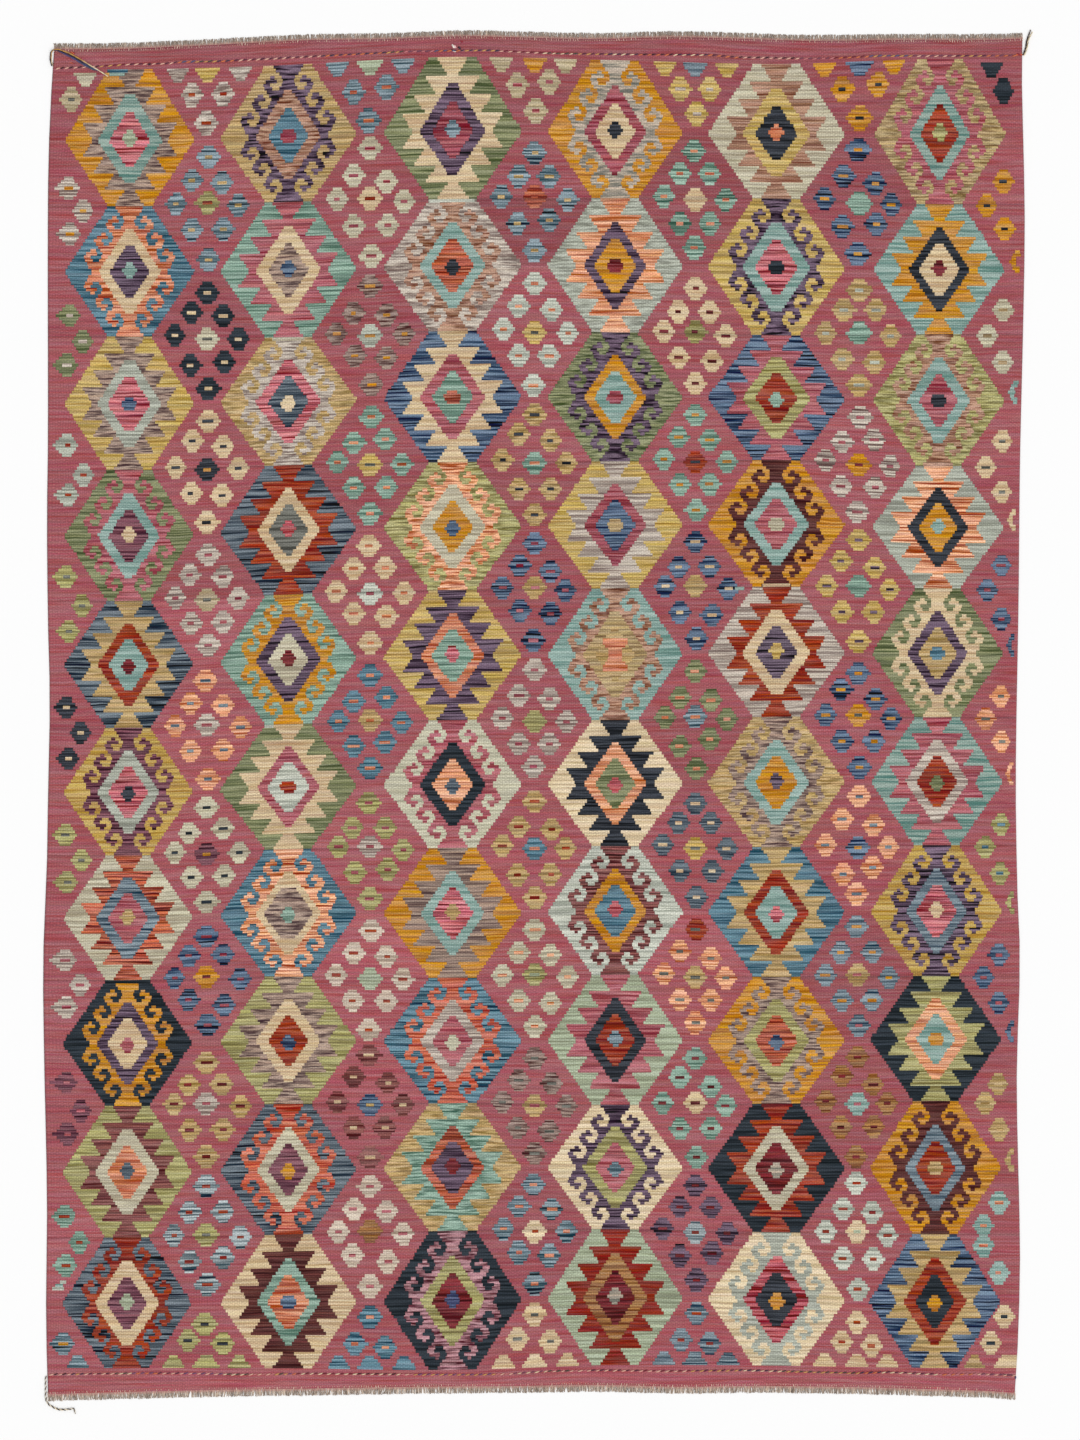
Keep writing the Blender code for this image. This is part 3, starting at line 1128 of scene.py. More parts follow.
def lineCells(line):
    # every place on a weft line where either neighbour turns, and a few more
    found = {0, cells, middleCell, *cloth["selvedge"], *(cells - warp for warp in cloth["selvedge"])}
    for row in (line - 1, line):
        if 0 <= row < len(rowRuns):
            found.update(rowRuns[row])
    ordered = sorted(found)
    for first, last in zip(ordered, ordered[1:]):
        parts = math.ceil((last - first) / cloth["longestRun"])
        found.update(first + (last - first) * part // parts for part in range(1, parts))
    return sorted(found)


def rise(x, y, cell):
    # the cloth's upper face: nearly level, lower towards its rounded selvedges
    swell = np.sin(x * 7.3 + 1.1) * np.sin(y * 5.1) + 0.6 * np.sin(x * 19.0 + y * 13.0)
    height = weave["thickness"] - weave["ripple"] * (0.5 + 0.3 * swell)
    share = np.interp(
        np.minimum(cell, cells - cell), (0, *cloth["selvedge"]), (0.5, *cloth["selvedgeShare"])
    )
    return height * share * mm, height * (1 - share) * mm


def joinChains(upper, lower, firstUp, lastUp, firstLow, lastLow):
    # faces between two lines of points, a quad where both go on alike, else a triangle
    up, low = firstUp, firstLow
    while up < lastUp or low < lastLow:
        nextUp = upper[up + 1] if up < lastUp else math.inf
        nextLow = lower[low + 1] if low < lastLow else math.inf
        if nextUp == nextLow:
            yield (("u", up), ("l", low), ("l", low + 1), ("u", up + 1))
            up, low = up + 1, low + 1
        elif nextUp < nextLow:
            yield (("u", up), ("l", low), ("u", up + 1))
            up += 1
        else:
            yield (("u", up), ("l", low), ("l", low + 1))
            low += 1


def makeLines():
    waver = random.Random("weft")
    lines = []
    for line in range(lastLine - firstLine + 1):
        cell = lineCells(line)
        steps = np.array(cell) / cellsPerStep + weave["leftSteps"]
        x, y = linePlaces(line + firstLine, steps, waver)
        top, under = rise(x, y, np.array(cell))
        lines.append({"cell": cell, "steps": steps, "x": x, "y": y, "top": top, "under": under})
    return lines


def makeBand(name, lines, first, last, material, dyes, seeds):
    points, steps, numbers = [], [], {}
    for line in range(first, last + 1):
        here = lines[line]
        count, start = len(here["cell"]), len(points)
        points += zip(here["x"], here["y"], here["top"])
        points += list(zip(here["x"], here["y"], here["under"]))[1:-1]
        upperSteps = [(step, line + firstLine) for step in here["steps"]]
        steps += upperSteps + upperSteps[1:-1]
        top = list(range(start, start + count))
        under = [start, *range(start + count, start + 2 * count - 2), start + count - 1]
        numbers[line] = top, under

    made = []  # each face's corners, what is woven there, and its strip in the baked picture
    for row in range(first, last):
        upper, lower = lines[row]["cell"], lines[row + 1]["cell"]
        for start, end in zip(rowRuns[row], rowRuns[row][1:]):
            woven = (chart["yarn"][row, start], chart["area"][row, start], start, end)
            parts = [start, middleCell, end] if start < middleCell < end else [start, end]
            for left, right in zip(parts, parts[1:]):
                ends = [bisect_left(chain, cell) for chain in (upper, lower) for cell in (left, right)]
                for corners in joinChains(upper, lower, *ends):
                    for side in (0, 1):
                        at = {"u": numbers[row][side], "l": numbers[row + 1][side]}
                        face = [at[which][index] for which, index in corners]
                        made.append((face[::1 - 2 * side], woven, side * 2 + (left >= middleCell)))

    # the band's two thin sides, where it meets its neighbours
    for line, row, turn, strip in ((first, first, 1, 4), (last, last - 1, -1, 5)):
        top, under = numbers[line]
        for index, cell in enumerate(lines[line]["cell"][:-1]):
            corners = (top[index], top[index + 1], under[index + 1], under[index])
            face = list(dict.fromkeys(corners))  # a triangle at the selvedges
            run = bisect_left(rowRuns[row], cell + 1) - 1
            woven = (chart["yarn"][row, cell], chart["area"][row, cell], *rowRuns[row][run:run + 2])
            made.append((face[::turn], woven, strip))
    return buildBand(name, points, steps, made, material, dyes, seeds)


def bakePlaces(points, strip, loopPoints):
    # four strips of cloth one above another, and the band's two thin sides beside them
    spots = np.array(points)
    low, wide, tall = spots.min(0), np.ptp(spots[:, 0]), np.ptp(spots[:, 1])
    gap = cloth["bakeGap"]
    size = max(4 * (tall + gap) + gap, wide / 2 + 6 * gap)
    across, along = (spots[loopPoints] - low).T[:2]
    u = gap + across - wide / 2 * (strip % 2)
    v = gap + np.clip(strip, 0, 3) * (tall + gap) + along
    side = strip >= 4
    u[side] = wide / 2 + 3 * gap + (strip[side] - 4) * 1.2 * gap + spots[loopPoints][side, 2] * 2
    v[side] = gap + across[side] / wide * (size - 2 * gap)
    return np.stack([u, v], 1) / size


def buildBand(name, points, steps, made, material, dyes, seeds):
    faces, woven, strips = zip(*made)
    mesh = bpy.data.meshes.new(name)
    mesh.from_pydata([tuple(map(float, point)) for point in points], [], faces)
    mesh.materials.append(material)
    loopPoints = np.concatenate([np.array(face) for face in faces])
    strip = np.repeat(np.array(strips), [len(face) for face in faces])
    places = {"OFBake": bakePlaces(points, strip, loopPoints), "weft": np.array(steps)[loopPoints]}
    for layer, spots in places.items():
        mesh.uv_layers.new(name=layer).uv.foreach_set("vector", spots.astype(np.float32).ravel())
    mesh.uv_layers.active = mesh.uv_layers["OFBake"]
    woven = np.array(woven)
    kinds, areas = woven[:, 0], woven[:, 1]
    setAttribute(mesh, "darkDye", "FLOAT_COLOR", "FACE", dyes["dark"][kinds], "color")
    setAttribute(mesh, "lightDye", "FLOAT_COLOR", "FACE", dyes["light"][kinds], "color")
    style = np.column_stack([dyes["style"][kinds], seeds[areas]])
    setAttribute(mesh, "yarnStyle", "FLOAT_VECTOR", "FACE", style, "vector")
    ends = woven[:, 2:] / cellsPerStep + weave["leftSteps"]
    ends = np.column_stack([ends, [areaTones.get(area, 1.0) for area in areas.tolist()]])
    setAttribute(mesh, "runEnds", "FLOAT_VECTOR", "FACE", ends, "vector")
    mesh.shade_smooth()
    flat = mesh.attributes.get("sharp_face") or mesh.attributes.new("sharp_face", "BOOLEAN", "FACE")
    flat.data.foreach_set("value", np.array(strips) >= 4)
    return addObject(name, mesh)


def dyeTables():
    dark, light, style = [], [], []
    for word in yarnKinds:
        name = word.rstrip("=~")
        dark.append(linear(yarns[name][0]))
        light.append(linear(yarns[name][1]))
        style.append(yarnMarks[word[len(name):]])
    return {"dark": np.array(dark), "light": np.array(light), "style": np.array(style)}


wool = {
    "picks": 2.2,  # lines of weft to a row, each of its own shade
    "swing": 0.5,  # rows that a line rises and falls
    # changes of shade to a step, along a pick
    "pickLength": 0.024,
    "mottleLength": 0.16,
    "lines": 1.85,  # darker and lighter lines that come by turns, to a row
    "lineLength": 0.036,
    "lineShare": 0.62,
    "dyeLength": 0.05,
    "hueWander": 0.018,
    "dyeWander": 0.24,
    "hank": (0.96, 1.04),
    "fibre": (0.76, 1.24),
    "fibreScale": 420.0,
    # painted shade in the grooves between the picks
    "groove": 0.045,
    # painted shade in the slits between two yarns: how far it reaches and how dark it gets
    "paintedSlitWidth": 0.34,  # steps, each side of a slit, that the painted slit shade reaches
    "paintedSlitShade": 0.70,
    # painted light and shade of the ribs over the warps
    "ribShade": 0.08,
    "overShade": 0.09,  # painted light: a pick is lighter where it lies over a pair of warps, by turns
    "ribHeight": 0.24,  # millimetres
}


def woolMaterial():
    material, tree, shader = startMaterial("kilimWool", 0.93, 0.12)
    across, down = split(tree, addNode(tree, "ShaderNodeUVMap", uv_map="weft").outputs[0])[:2]
    streaks, mottles, seed = split(tree, attribute(tree, "yarnStyle")[1])[:3]
    startsAt, endsAt, tone = split(tree, attribute(tree, "runEnds")[1])[:3]

    def blend(share, first, second):
        return addNode(tree, "ShaderNodeMix", {0: share, 2: first, 3: second}).outputs[0]

    def around(middle, value, reach):
        # a value from 0 to 1, made to run as far below the middle as above it
        return calc(tree, "MULTIPLY_ADD", value, reach, middle - reach / 2)

    # the weft lines rise and fall a little, so that no line runs dead level
    swingAt = combine(tree, times(tree, across, 0.11), times(tree, down, 0.25), seed)
    lined = calc(tree, "MULTIPLY_ADD", noise(tree, swingAt, detail=1.0), wool["swing"], down)
    pickNumber = calc(tree, "FLOOR", times(tree, lined, wool["picks"]))

    def alongPick(length, shift, low, high):
        # a value that runs smoothly along each pick and jumps from one pick to the next
        at = combine(
            tree, times(tree, pickNumber, 7.31), times(tree, across, length), plus(tree, seed, shift)
        )
        return fade(tree, noise(tree, at, detail=1.0), low, high)

    pick = alongPick(wool["pickLength"], 0.0, 0.32, 0.68)
    mottle = alongPick(wool["mottleLength"], 7.7, 0.42, 0.58)
    lineLength = blend(mottles, wool["lineLength"], wool["mottleLength"])
    lineAt = combine(
        tree, times(tree, across, lineLength), times(tree, lined, wool["lines"]), plus(tree, seed, 3.3)
    )
    lines = fade(tree, noise(tree, lineAt, detail=0.0), 0.34, 0.66)
    both = blend(wool["lineShare"], blend(mottles, pick, mottle), lines)
    spread = times(tree, calc(tree, "SUBTRACT", both, 0.5), streaks)
    dye = mixColor(
        tree, plus(tree, spread, 0.5),
        attribute(tree, "darkDye")[0], attribute(tree, "lightDye")[0], beyond=True,
    )

    # the dye took unevenly, so hue and strength wander from pick to pick
    hue = around(0.5, alongPick(wool["dyeLength"], 21.0, 0.25, 0.75), wool["hueWander"])
    strength = around(1.0, alongPick(wool["dyeLength"], 35.0, 0.25, 0.75), wool["dyeWander"])
    dye = addNode(
        tree, "ShaderNodeHueSaturation", {"Hue": hue, "Saturation": strength, "Color": dye}
    ).outputs[0]

    # slow changes of shade where one hank of yarn follows another
    hankAt = combine(tree, times(tree, across, 0.012), times(tree, down, 0.16), seed)
    hank = fade(tree, noise(tree, hankAt), 0.3, 0.7, *wool["hank"])
    grain = noise(tree, objectPlace(tree), wool["fibreScale"], roughness=0.7)
    fibre = fade(tree, grain, 0.25, 0.75, *wool["fibre"])

    # painted shade in the small slits where two yarns turn back beside each other: dark beside a dark yarn,
    # and a little lighter beside a pale one
    nearest = calc(
        tree, "MINIMUM", calc(tree, "SUBTRACT", across, startsAt), calc(tree, "SUBTRACT", endsAt, across)
    )
    near = fade(tree, nearest, 0.0, wool["paintedSlitWidth"], 1.0, 0.0)
    light = addNode(tree, "ShaderNodeRGBToBW", {"Color": attribute(tree, "lightDye")[0]}).outputs[0]
    deepest = fade(tree, light, 0.10, 0.50, wool["paintedSlitShade"] - 1.0, 0.05)
    slitShade = calc(tree, "MULTIPLY_ADD", near, deepest, 1.0)

    # ribs over the warps, which lie in pairs, and grooves between the picks; in the colour below they are
    # painted light and shade
    rib = calc(tree, "COSINE", times(tree, across, 2 * math.pi))
    turns = calc(tree, "FLOOR", times(tree, down, wool["picks"]))
    over = calc(tree, "COSINE", times(tree, plus(tree, turns, across), math.pi))
    groove = calc(tree, "COSINE", times(tree, down, 2 * math.pi * wool["picks"]))
    # the colour's own tone from hank, fibre and area, with the painted shade of the slits, ribs and grooves
    shade = times(
        tree, hank, fibre, slitShade,
        calc(tree, "MULTIPLY_ADD", rib, wool["ribShade"], 1.0),
        calc(tree, "MULTIPLY_ADD", over, wool["overShade"], 1.0),
        calc(tree, "MULTIPLY_ADD", groove, -wool["groove"], 1.0),
        tone,
    )
    tree.links.new(shaded(tree, dye, shade), shader.inputs["Base Color"])

    # the relief: the same ribs and grooves, the slits, and uneven yarn
    lumpsAt = combine(tree, times(tree, across, 0.6), times(tree, down, 5.5), 0.0)
    height = times(tree, noise(tree, lumpsAt, roughness=0.6), 1.2)
    for part, share in ((rib, 0.5), (over, 0.4), (groove, -0.3), (near, -0.6)):
        height = calc(tree, "MULTIPLY_ADD", part, share, height)
    bump = addNode(
        tree, "ShaderNodeBump", {"Height": height, "Distance": wool["ribHeight"] * mm, "Strength": 0.8}
    )
    tree.links.new(bump.outputs[0], shader.inputs["Normal"])
    return material


def makeCloth():
    lines = makeLines()
    dyes = dyeTables()
    hanks = random.Random("hanks")
    seeds = np.array([hanks.uniform(0, 400) for _ in range(areaCount + 1)])
    material = woolMaterial()
    ranks = range(1, len(medallionRows))
    cuts = [0, *(rank * weave["rowsHigh"] - firstLine for rank in ranks), lastLine - firstLine]
    for index, (first, last) in enumerate(zip(cuts, cuts[1:])):
        band = makeBand(f"kilimBand{index + 1:02}", lines, first, last, material, dyes, seeds)
        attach(band, "root")
        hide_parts("kilim")
    print("cloth woven:", index + 1, "bands")


makeCloth()


# Geometry Nodes: a tree with named inputs, and what turns its result into a plain mesh

def startTree(name, inputs):
    tree = bpy.data.node_groups.new(name, "GeometryNodeTree")
    tree.interface.new_socket("Geometry", in_out="INPUT", socket_type="NodeSocketGeometry")
    for label, kind in inputs.items():
        tree.interface.new_socket(label, in_out="INPUT", socket_type="NodeSocket" + kind)
    tree.interface.new_socket("Geometry", in_out="OUTPUT", socket_type="NodeSocketGeometry")
    return tree, tree.nodes.new("NodeGroupInput").outputs


def endTree(tree, geometry, material):
    realized = addNode(tree, "GeometryNodeRealizeInstances", {"Geometry": geometry}).outputs[0]
    smooth = addNode(tree, "GeometryNodeSetShadeSmooth", {"Geometry": realized}).outputs[0]
    done = addNode(tree, "GeometryNodeSetMaterial", {"Geometry": smooth, "Material": material})
    tree.links.new(done.outputs[0], tree.nodes.new("NodeGroupOutput").inputs[0])


def runTree(name, mesh, tree, values):
    # the tree's result on this mesh, as a plain mesh of its own
    worker = addObject(name + "Base", mesh)
    modifier = worker.modifiers.new("shape", "NODES")
    modifier.node_group = tree
    for socket in tree.interface.items_tree:
        if socket.item_type == "SOCKET" and socket.in_out == "INPUT" and socket.name in values:
            modifier[socket.identifier] = values[socket.name]
    evaluated = worker.evaluated_get(bpy.context.evaluated_depsgraph_get())
    result = bpy.data.meshes.new_from_object(evaluated)
    worker.modifiers.remove(modifier)
    bpy.data.objects.remove(worker, do_unlink=True)
    return result


def store(tree, geometry, name, value):
    # keeps a number under a name, point by point
    values = {"Geometry": geometry, "Name": name, "Value": value}
    return addNode(
        tree, "GeometryNodeStoreNamedAttribute", values, data_type="FLOAT", domain="POINT"
    ).outputs[0]


def named(tree, name):
    return addNode(tree, "GeometryNodeInputNamedAttribute", {"Name": name}, data_type="FLOAT").outputs[0]


def chance(tree, low, high, seed):
    # a number of its own for each point
    made = tree.nodes.new("FunctionNodeRandomValue")
    made.data_type = "FLOAT"
    for identifier, value in (("Min_001", low), ("Max_001", high), ("Seed", seed)):
        socket = next(socket for socket in made.inputs if socket.identifier == identifier)
        if isinstance(value, bpy.types.NodeSocket):
            tree.links.new(value, socket)
        else:
            socket.default_value = value
    return next(socket for socket in made.outputs if socket.identifier == "Value_001")


# The twined rows: stitches of a light and a dark yarn by turns. Each stretch starts at a place
# across the rug, in millimetres, and names its two yarns.
twining = {
    "pitch": 9.2,
    "length": 11.4,
    "width": 5.6,
    "height": 2.6,
    "arch": 2.4,
    "slant": 16,  # degrees
    "turns": (-0.09, 0.09),  # radians that a stitch turns off the slant
    "sizes": (0.88, 1.1),
    "endShare": 0.12,  # how thick a stitch is at its ends
    "apart": 0.4,  # the light yarn's stitches lie this far below the row's middle, the dark ones above
    "sink": 0.5,  # how far a stitch's ends dip into the cloth
    "seed": 5,
    "seams": {
        "twinedRowTop": (twinedTop, (
            (-1016, "blush", "soot"), (-920, "ochre", "maroon"), (-865, "blush", "plum"),
            (-761, "orange", "blue"), (-720, "ochre", "green"), (-678, "orange", "navy"),
            (-633, "blush", "plum"), (-455, "orange", "navy"), (-317, "ochre", "green"),
            (-274, "rose", "mauve"), (-212, "orange", "blue"), (-157, "ochre", "navy"),
            (-72, "blush", "maroon"), (23, "cream", "green"), (90, "ochre", "plum"),
            (153, "cream", "navy"), (225, "orange", "soot"), (300, "cream", "navy"),
            (374, "orange", "plum"), (438, "blush", "soot"), (565, "rose", "mauve"),
            (642, "orange", "maroon"), (714, "ochre", "blue"), (800, "blush", "mauve"),
            (900, "ochre", "plum"), (960, "orange", "mauve"), (1026, "", ""),
        )),
        "twinedRowBottom": (twinedBottom, (
            (-1030, "blush", "soot"), (-982, "ochre", "navy"), (-955, "blush", "plum"),
            (-888, "cream", "green"), (-858, "orange", "violet"), (-800, "blush", "plum"),
            (-740, "blush", "violet"), (-657, "cream", "green"), (-610, "blush", "rose"),
            (-553, "ochre", "green"), (-527, "orange", "violet"), (-503, "cream", "maroon"),
            (-376, "cream", "soot"), (-285, "blush", "rose"), (-259, "ochre", "violet"),
            (-85, "blush", "rose"), (-46, "cream", "mauve"), (30, "blush", "green"),
            (87, "blush", "rose"), (113, "blush", "plum"), (225, "blush", "maroon"),
            (332, "ochre", "plum"), (438, "cream", "navy"), (523, "ochre", "green"),
            (693, "orange", "navy"), (735, "cream", "plum"), (862, "orange", "rose"),
            (940, "blush", "mauve"), (1024, "", ""),
        )),
    },
}

twinedShades = {
    "blush": (226, 180, 160),
    "cream": (228, 206, 172),
    "ochre": (204, 158, 92),
    "orange": (210, 120, 72),
    "rose": (196, 122, 124),
    "mauve": (120, 72, 92),
    "plum": (86, 44, 62),
    "maroon": (110, 34, 46),
    "soot": (62, 36, 42),
    "navy": (58, 54, 74),
    "blue": (82, 90, 124),
    "violet": (108, 78, 112),
    "green": (68, 76, 62),
}


def twiningTree():
    tree, given = startTree("twinedStitches", {
        "Length": "Float", "Width": "Float", "Height": "Float", "Arch": "Float",
        "Slant": "Float", "Seed": "Int", "Material": "Material",
    })
    half = times(tree, given["Length"], 0.5)
    arch = addNode(tree, "GeometryNodeCurveQuadraticBezier", {
        "Resolution": 6, "Start": combine(tree, times(tree, half, -1.0), 0.0, 0.0),
        "Middle": combine(tree, 0.0, 0.0, given["Arch"]), "End": combine(tree, half, 0.0, 0.0),
    }).outputs[0]
    along = tree.nodes.new("GeometryNodeSplineParameter").outputs["Factor"]
    swell = calc(tree, "POWER", calc(tree, "SINE", times(tree, along, math.pi)), 0.6)
    circle = addNode(tree, "GeometryNodeCurvePrimitiveCircle", {"Resolution": 6, "Radius": 0.5}).outputs[0]
    oval = addNode(tree, "GeometryNodeTransform", {
        "Geometry": circle, "Scale": combine(tree, given["Height"], given["Width"], 1.0),
    }).outputs[0]
    stitch = addNode(tree, "GeometryNodeCurveToMesh", {
        "Curve": arch, "Profile Curve": oval, "Fill Caps": True,
        "Scale": calc(tree, "MAXIMUM", swell, twining["endShare"]),
    }).outputs[0]
    spots = addNode(tree, "GeometryNodeMeshToPoints", {"Mesh": given["Geometry"]}).outputs[0]
    turn = plus(tree, named(tree, "turn"), given["Slant"], chance(tree, *twining["turns"], given["Seed"]))
    size = chance(tree, *twining["sizes"], plus(tree, given["Seed"], 1.0))
    placed = addNode(tree, "GeometryNodeInstanceOnPoints", {
        "Points": spots, "Instance": stitch, "Rotation": combine(tree, 0.0, 0.0, turn),
        "Scale": combine(tree, size, size, size),
    }).outputs[0]
    endTree(tree, placed, given["Material"])
    return tree


def twinedMaterial():
    # a fine yarn whose shade changes a little along it
    material, tree, shader = startMaterial("twinedYarn", 0.9, 0.15)
    patches = noise(tree, objectPlace(tree), 420.0, roughness=0.6)
    shade = fade(tree, patches, 0.3, 0.7, 0.84, 1.12)
    tree.links.new(shaded(tree, attribute(tree, "dye")[0], shade), shader.inputs["Base Color"])
    return material


def makeTwinedRows():
    tree = twiningTree()
    values = {
        "Length": twining["length"] * mm, "Width": twining["width"] * mm,
        "Height": twining["height"] * mm, "Arch": twining["arch"] * mm,
        "Slant": math.radians(twining["slant"]), "Seed": twining["seed"],
        "Material": twinedMaterial(),
    }
    z = weave["thickness"] - weave["ripple"] - twining["sink"]
    for name, (table, stretches) in twining["seams"].items():
        first, last = stretches[0][0], stretches[-1][0]
        count = int((last - first) / twining["pitch"])
        x = (first + (np.arange(count) + 0.5) * (last - first) / count) * mm
        y = tableHeight(table, x)
        turn = np.arctan2(np.gradient(y), np.gradient(x))
        starts = [stretch[0] * mm for stretch in stretches]
        dye = []
        for number, place in enumerate(x):
            stretch = stretches[bisect_left(starts, place) - 1]
            dye.append(linear(twinedShades[stretch[1 + number % 2]]))
        y = y + np.where(np.arange(count) % 2, 1, -1) * twining["apart"] * mm
        mesh = bpy.data.meshes.new(name)
        mesh.from_pydata([(float(a), float(b), z * mm) for a, b in zip(x, y)], [], [])
        setAttribute(mesh, "turn", "FLOAT", "POINT", turn, "value")
        setAttribute(mesh, "dye", "FLOAT_COLOR", "POINT", dye, "color")
        piece = addObject(name, runTree(name, mesh, tree, values))
        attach(piece, "root")


makeTwinedRows()
print("rows twined")


# The fringe: cut warp ends drawn together in small locks, and the pale loops at their roots.
# Sizes are in millimetres.
fringe = {
    "kinds": {
        "strands": {
            "count": 2750, "radius": 0.78, "inset": 0.4, "height": 1.75, "gather": 0.20, "lean": 0.26,
        },
        "roots": {
            "count": 402, "radius": 0.95, "inset": 4.6, "height": 2.9, "gather": 0.0, "lean": 0.1,
            "lengths": (5.2, 6.6), "paleness": 1.0,
        },
    },
    "ends": {
        "fringeTopStrands": {
            "node": "fringe_top", "edge": "top", "lengths": (11.6, 14.8), "outward": 1.0, "seed": 3,
            "paleness": 0.0,
        },
        "fringeBottomStrands": {
            "node": "fringe_bottom", "edge": "bottom", "lengths": (13.8, 17.0), "outward": -1.0, "seed": 8,
            "paleness": 0.25,
        },
    },
    "lockWidth": 8.5,
    "lockShare": 0.45,  # how much of the difference between long and short a whole lock shares
    "uneven": 1.6,  # how much the locks differ in width
    "sway": 2.6,  # how much neighbouring strands lean together
    "scatter": (0.7, 0.5, 0.4),  # how far a strand starts off its place
    "lowest": 0.6,  # how high a strand's middle stays above the floor
    "line": 1.0,  # how long a strand is before it is bent and laid
    "bend": 1.1,
    "drop": (-1.9, -0.9),  # from its start to its tip
    "thickness": (0.75, 1.25),  # of the radius, strand by strand
    "taper": 0.45,  # how much thinner the tip is
    "taupe": ((116, 100, 88), (178, 160, 146)),
    "blush": (196, 138, 130),  # where the warp leaves the cloth
    "cream": ((186, 162, 142), (234, 214, 192)),
    "creamShare": 0.22,
}


def fringeTree():
    tree, given = startTree("fringeStrands", {
        "Strands": "Int", "Shortest": "Float", "Longest": "Float", "Radius": "Float",
        "Lock Width": "Float", "Gather": "Float", "Lean": "Float", "Outward": "Float",
        "Lowest": "Float", "Paleness": "Float", "Seed": "Int", "Material": "Material",
    })
    seed = given["Seed"]

    def own(number, low, high):
        # a number for each strand, drawn from a seed that no other number here has
        return chance(tree, low, high, plus(tree, seed, float(number)))

    edge = addNode(tree, "GeometryNodeMeshToCurve", {"Mesh": given["Geometry"]}).outputs[0]
    values = {"Curve": edge, "Count": given["Strands"]}
    roots = addNode(tree, "GeometryNodeCurveToPoints", values, mode="COUNT").outputs[0]
    x, _, z = split(tree, tree.nodes.new("GeometryNodeInputPosition").outputs[0])
    shift = combine(tree, *(own(axis, -far * mm, far * mm) for axis, far in enumerate(fringe["scatter"])))
    roots = addNode(tree, "GeometryNodeSetPosition", {"Geometry": roots, "Offset": shift}).outputs[0]

    # a lock's strands share much of their length and lean
    wander = noise(tree, combine(tree, times(tree, x, 60.0), seed, 0.0))
    lock = calc(tree, "DIVIDE", x, given["Lock Width"])
    lock = calc(tree, "MULTIPLY_ADD", wander, fringe["uneven"], lock)
    number = calc(tree, "FLOOR", lock)
    inLock = plus(tree, calc(tree, "SUBTRACT", lock, number), -0.5)
    white = addNode(
        tree, "ShaderNodeTexWhiteNoise", {"W": plus(tree, number, seed)}, noise_dimensions="1D"
    ).outputs["Value"]
    between = plus(tree, times(tree, white, fringe["lockShare"]), own(3, 0.0, 1.0 - fringe["lockShare"]))
    values = {"Value": between, "To Min": given["Shortest"], "To Max": given["Longest"]}
    slow = noise(tree, combine(tree, times(tree, x, 34.0), 3.3, seed), detail=3.0)
    lean = plus(tree, times(tree, plus(tree, slow, -0.5), fringe["sway"]), own(4, -1.0, 1.0))
    facts = {
        "long": addNode(tree, "ShaderNodeMapRange", values).outputs[0],
        "lean": times(tree, lean, given["Lean"]),
        "draw": times(tree, inLock, given["Lock Width"], -1.0, given["Gather"]),
        "strand": own(5, 0.0, 1.0),
    }
    for label, value in facts.items():
        roots = store(tree, roots, label, value)

    ends = {"Start": (0.0, 0.0, 0.0), "End": (0.0, fringe["line"] * mm, 0.0)}
    line = addNode(tree, "GeometryNodeCurvePrimitiveLine", ends).outputs[0]
    line = addNode(tree, "GeometryNodeResampleCurve", {"Curve": line, "Count": 6}).outputs[0]
    placed = addNode(tree, "GeometryNodeInstanceOnPoints", {"Points": roots, "Instance": line}).outputs[0]
    strands = addNode(tree, "GeometryNodeRealizeInstances", {"Geometry": placed}).outputs[0]

    # each strand runs out from the cloth, bends, and comes down to the floor
    along = tree.nodes.new("GeometryNodeSplineParameter").outputs["Factor"]
    strand, lean = named(tree, "strand"), named(tree, "lean")
    reach = times(tree, named(tree, "long"), along)
    bend = calc(tree, "SINE", calc(tree, "MULTIPLY_ADD", strand, 43.0, times(tree, along, 4.2)))
    sideways = plus(
        tree, times(tree, reach, calc(tree, "SINE", lean)),
        times(tree, bend, along, fringe["bend"] * mm),
        times(tree, named(tree, "draw"), times(tree, along, along)),
    )
    outwards = times(tree, reach, calc(tree, "COSINE", lean), given["Outward"])
    outwards = calc(tree, "MULTIPLY_ADD", along, -fringe["line"] * mm, outwards)
    least, most = fringe["drop"]
    drop = calc(tree, "MULTIPLY_ADD", strand, (most - least) * mm, least * mm)
    fallen = calc(tree, "MULTIPLY_ADD", calc(tree, "POWER", along, 0.8), drop, z)
    fall = calc(tree, "SUBTRACT", calc(tree, "MAXIMUM", fallen, given["Lowest"]), z)
    moved = addNode(tree, "GeometryNodeSetPosition", {
        "Geometry": strands, "Offset": combine(tree, sideways, outwards, fall),
    }).outputs[0]
    moved = store(tree, moved, "along", along)
    moved = store(tree, moved, "pale", given["Paleness"])
    thin, thick = fringe["thickness"]
    width = times(
        tree, given["Radius"], calc(tree, "MULTIPLY_ADD", along, -fringe["taper"], 1.0),
        calc(tree, "MULTIPLY_ADD", strand, thick - thin, thin),
    )
    circle = addNode(tree, "GeometryNodeCurvePrimitiveCircle", {"Resolution": 5, "Radius": 1.0}).outputs[0]
    tubes = addNode(tree, "GeometryNodeCurveToMesh", {
        "Curve": moved, "Profile Curve": circle, "Scale": width, "Fill Caps": True,
    }).outputs[0]
    endTree(tree, tubes, given["Material"])
    return tree


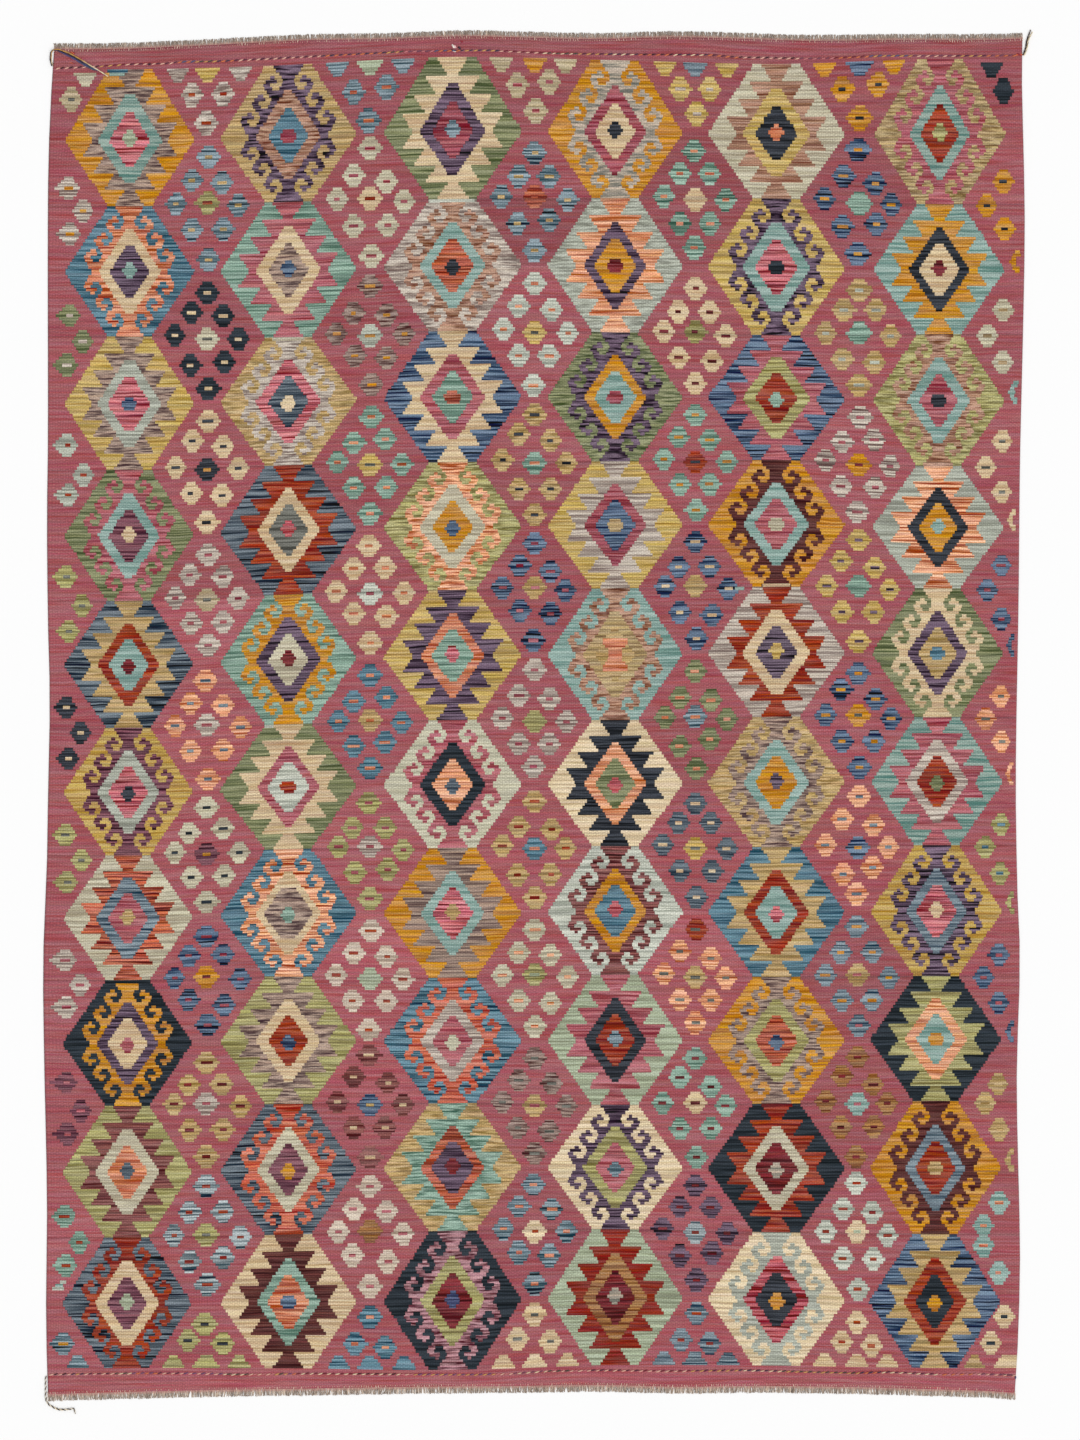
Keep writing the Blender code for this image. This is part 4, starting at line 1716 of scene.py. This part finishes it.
def fringeMaterial():
    # undyed warp, grey-brown and cream, stained by the wool at its roots and darker at its tips
    material, tree, shader = startMaterial("fringeYarn", 0.92, 0.25)
    strand, along, pale = (attribute(tree, name)[2] for name in ("strand", "along", "pale"))
    patches = noise(tree, objectPlace(tree), 90.0)
    share = calc(tree, "FRACT", times(tree, strand, 17.0))
    taupe = mixColor(tree, share, *(linear(shade) for shade in fringe["taupe"]))
    cream = mixColor(tree, share, *(linear(shade) for shade in fringe["cream"]))
    often = plus(tree, calc(tree, "MULTIPLY_ADD", patches, 0.5, fringe["creamShare"] - 0.25), pale)
    isCream = calc(tree, "LESS_THAN", strand, often)
    stained = fade(tree, along, 0.1, 0.5, 0.6, 0.0)
    color = mixColor(tree, stained, mixColor(tree, isCream, taupe, cream), linear(fringe["blush"]))
    tip = fade(tree, along, 0.55, 1.0, 1.0, 0.86)
    tree.links.new(shaded(tree, color, tip), shader.inputs["Base Color"])
    return material


def makeFringes():
    tree = fringeTree()
    material = fringeMaterial()
    for name, end in fringe["ends"].items():
        parts = []
        for kind, strands in fringe["kinds"].items():
            own = {**end, **strands}
            inset = own["outward"] * own["inset"] * mm
            points = [(float(x), float(y - inset), own["height"] * mm) for x, y in zip(*edges[own["edge"]])]
            mesh = bpy.data.meshes.new(name + kind)
            mesh.from_pydata(points, [(at, at + 1) for at in range(len(points) - 1)], [])
            parts.append(runTree(name + kind, mesh, tree, {
                "Strands": own["count"], "Shortest": own["lengths"][0] * mm,
                "Longest": own["lengths"][1] * mm, "Radius": own["radius"] * mm,
                "Lock Width": fringe["lockWidth"] * mm, "Gather": own["gather"], "Lean": own["lean"],
                "Outward": own["outward"], "Lowest": fringe["lowest"] * mm,
                "Paleness": own["paleness"], "Seed": own["seed"], "Material": material,
            }))
        piece = joinMeshes(name, parts)
        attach(piece, "root")
        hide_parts(end["node"])


def joinMeshes(name, parts):
    # one piece of several meshes
    made = bmesh.new()
    for part in parts:
        made.from_mesh(part)
    mesh = bpy.data.meshes.new(name)
    made.to_mesh(mesh)
    made.free()
    mesh.materials.append(parts[0].materials[0])
    return addObject(name, mesh)


makeFringes()
print("fringe cut")

size = {"cad": cadBounds, "visual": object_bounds()}
{name: [list(map(float, corner)) for corner in box] for name, box in size.items()}
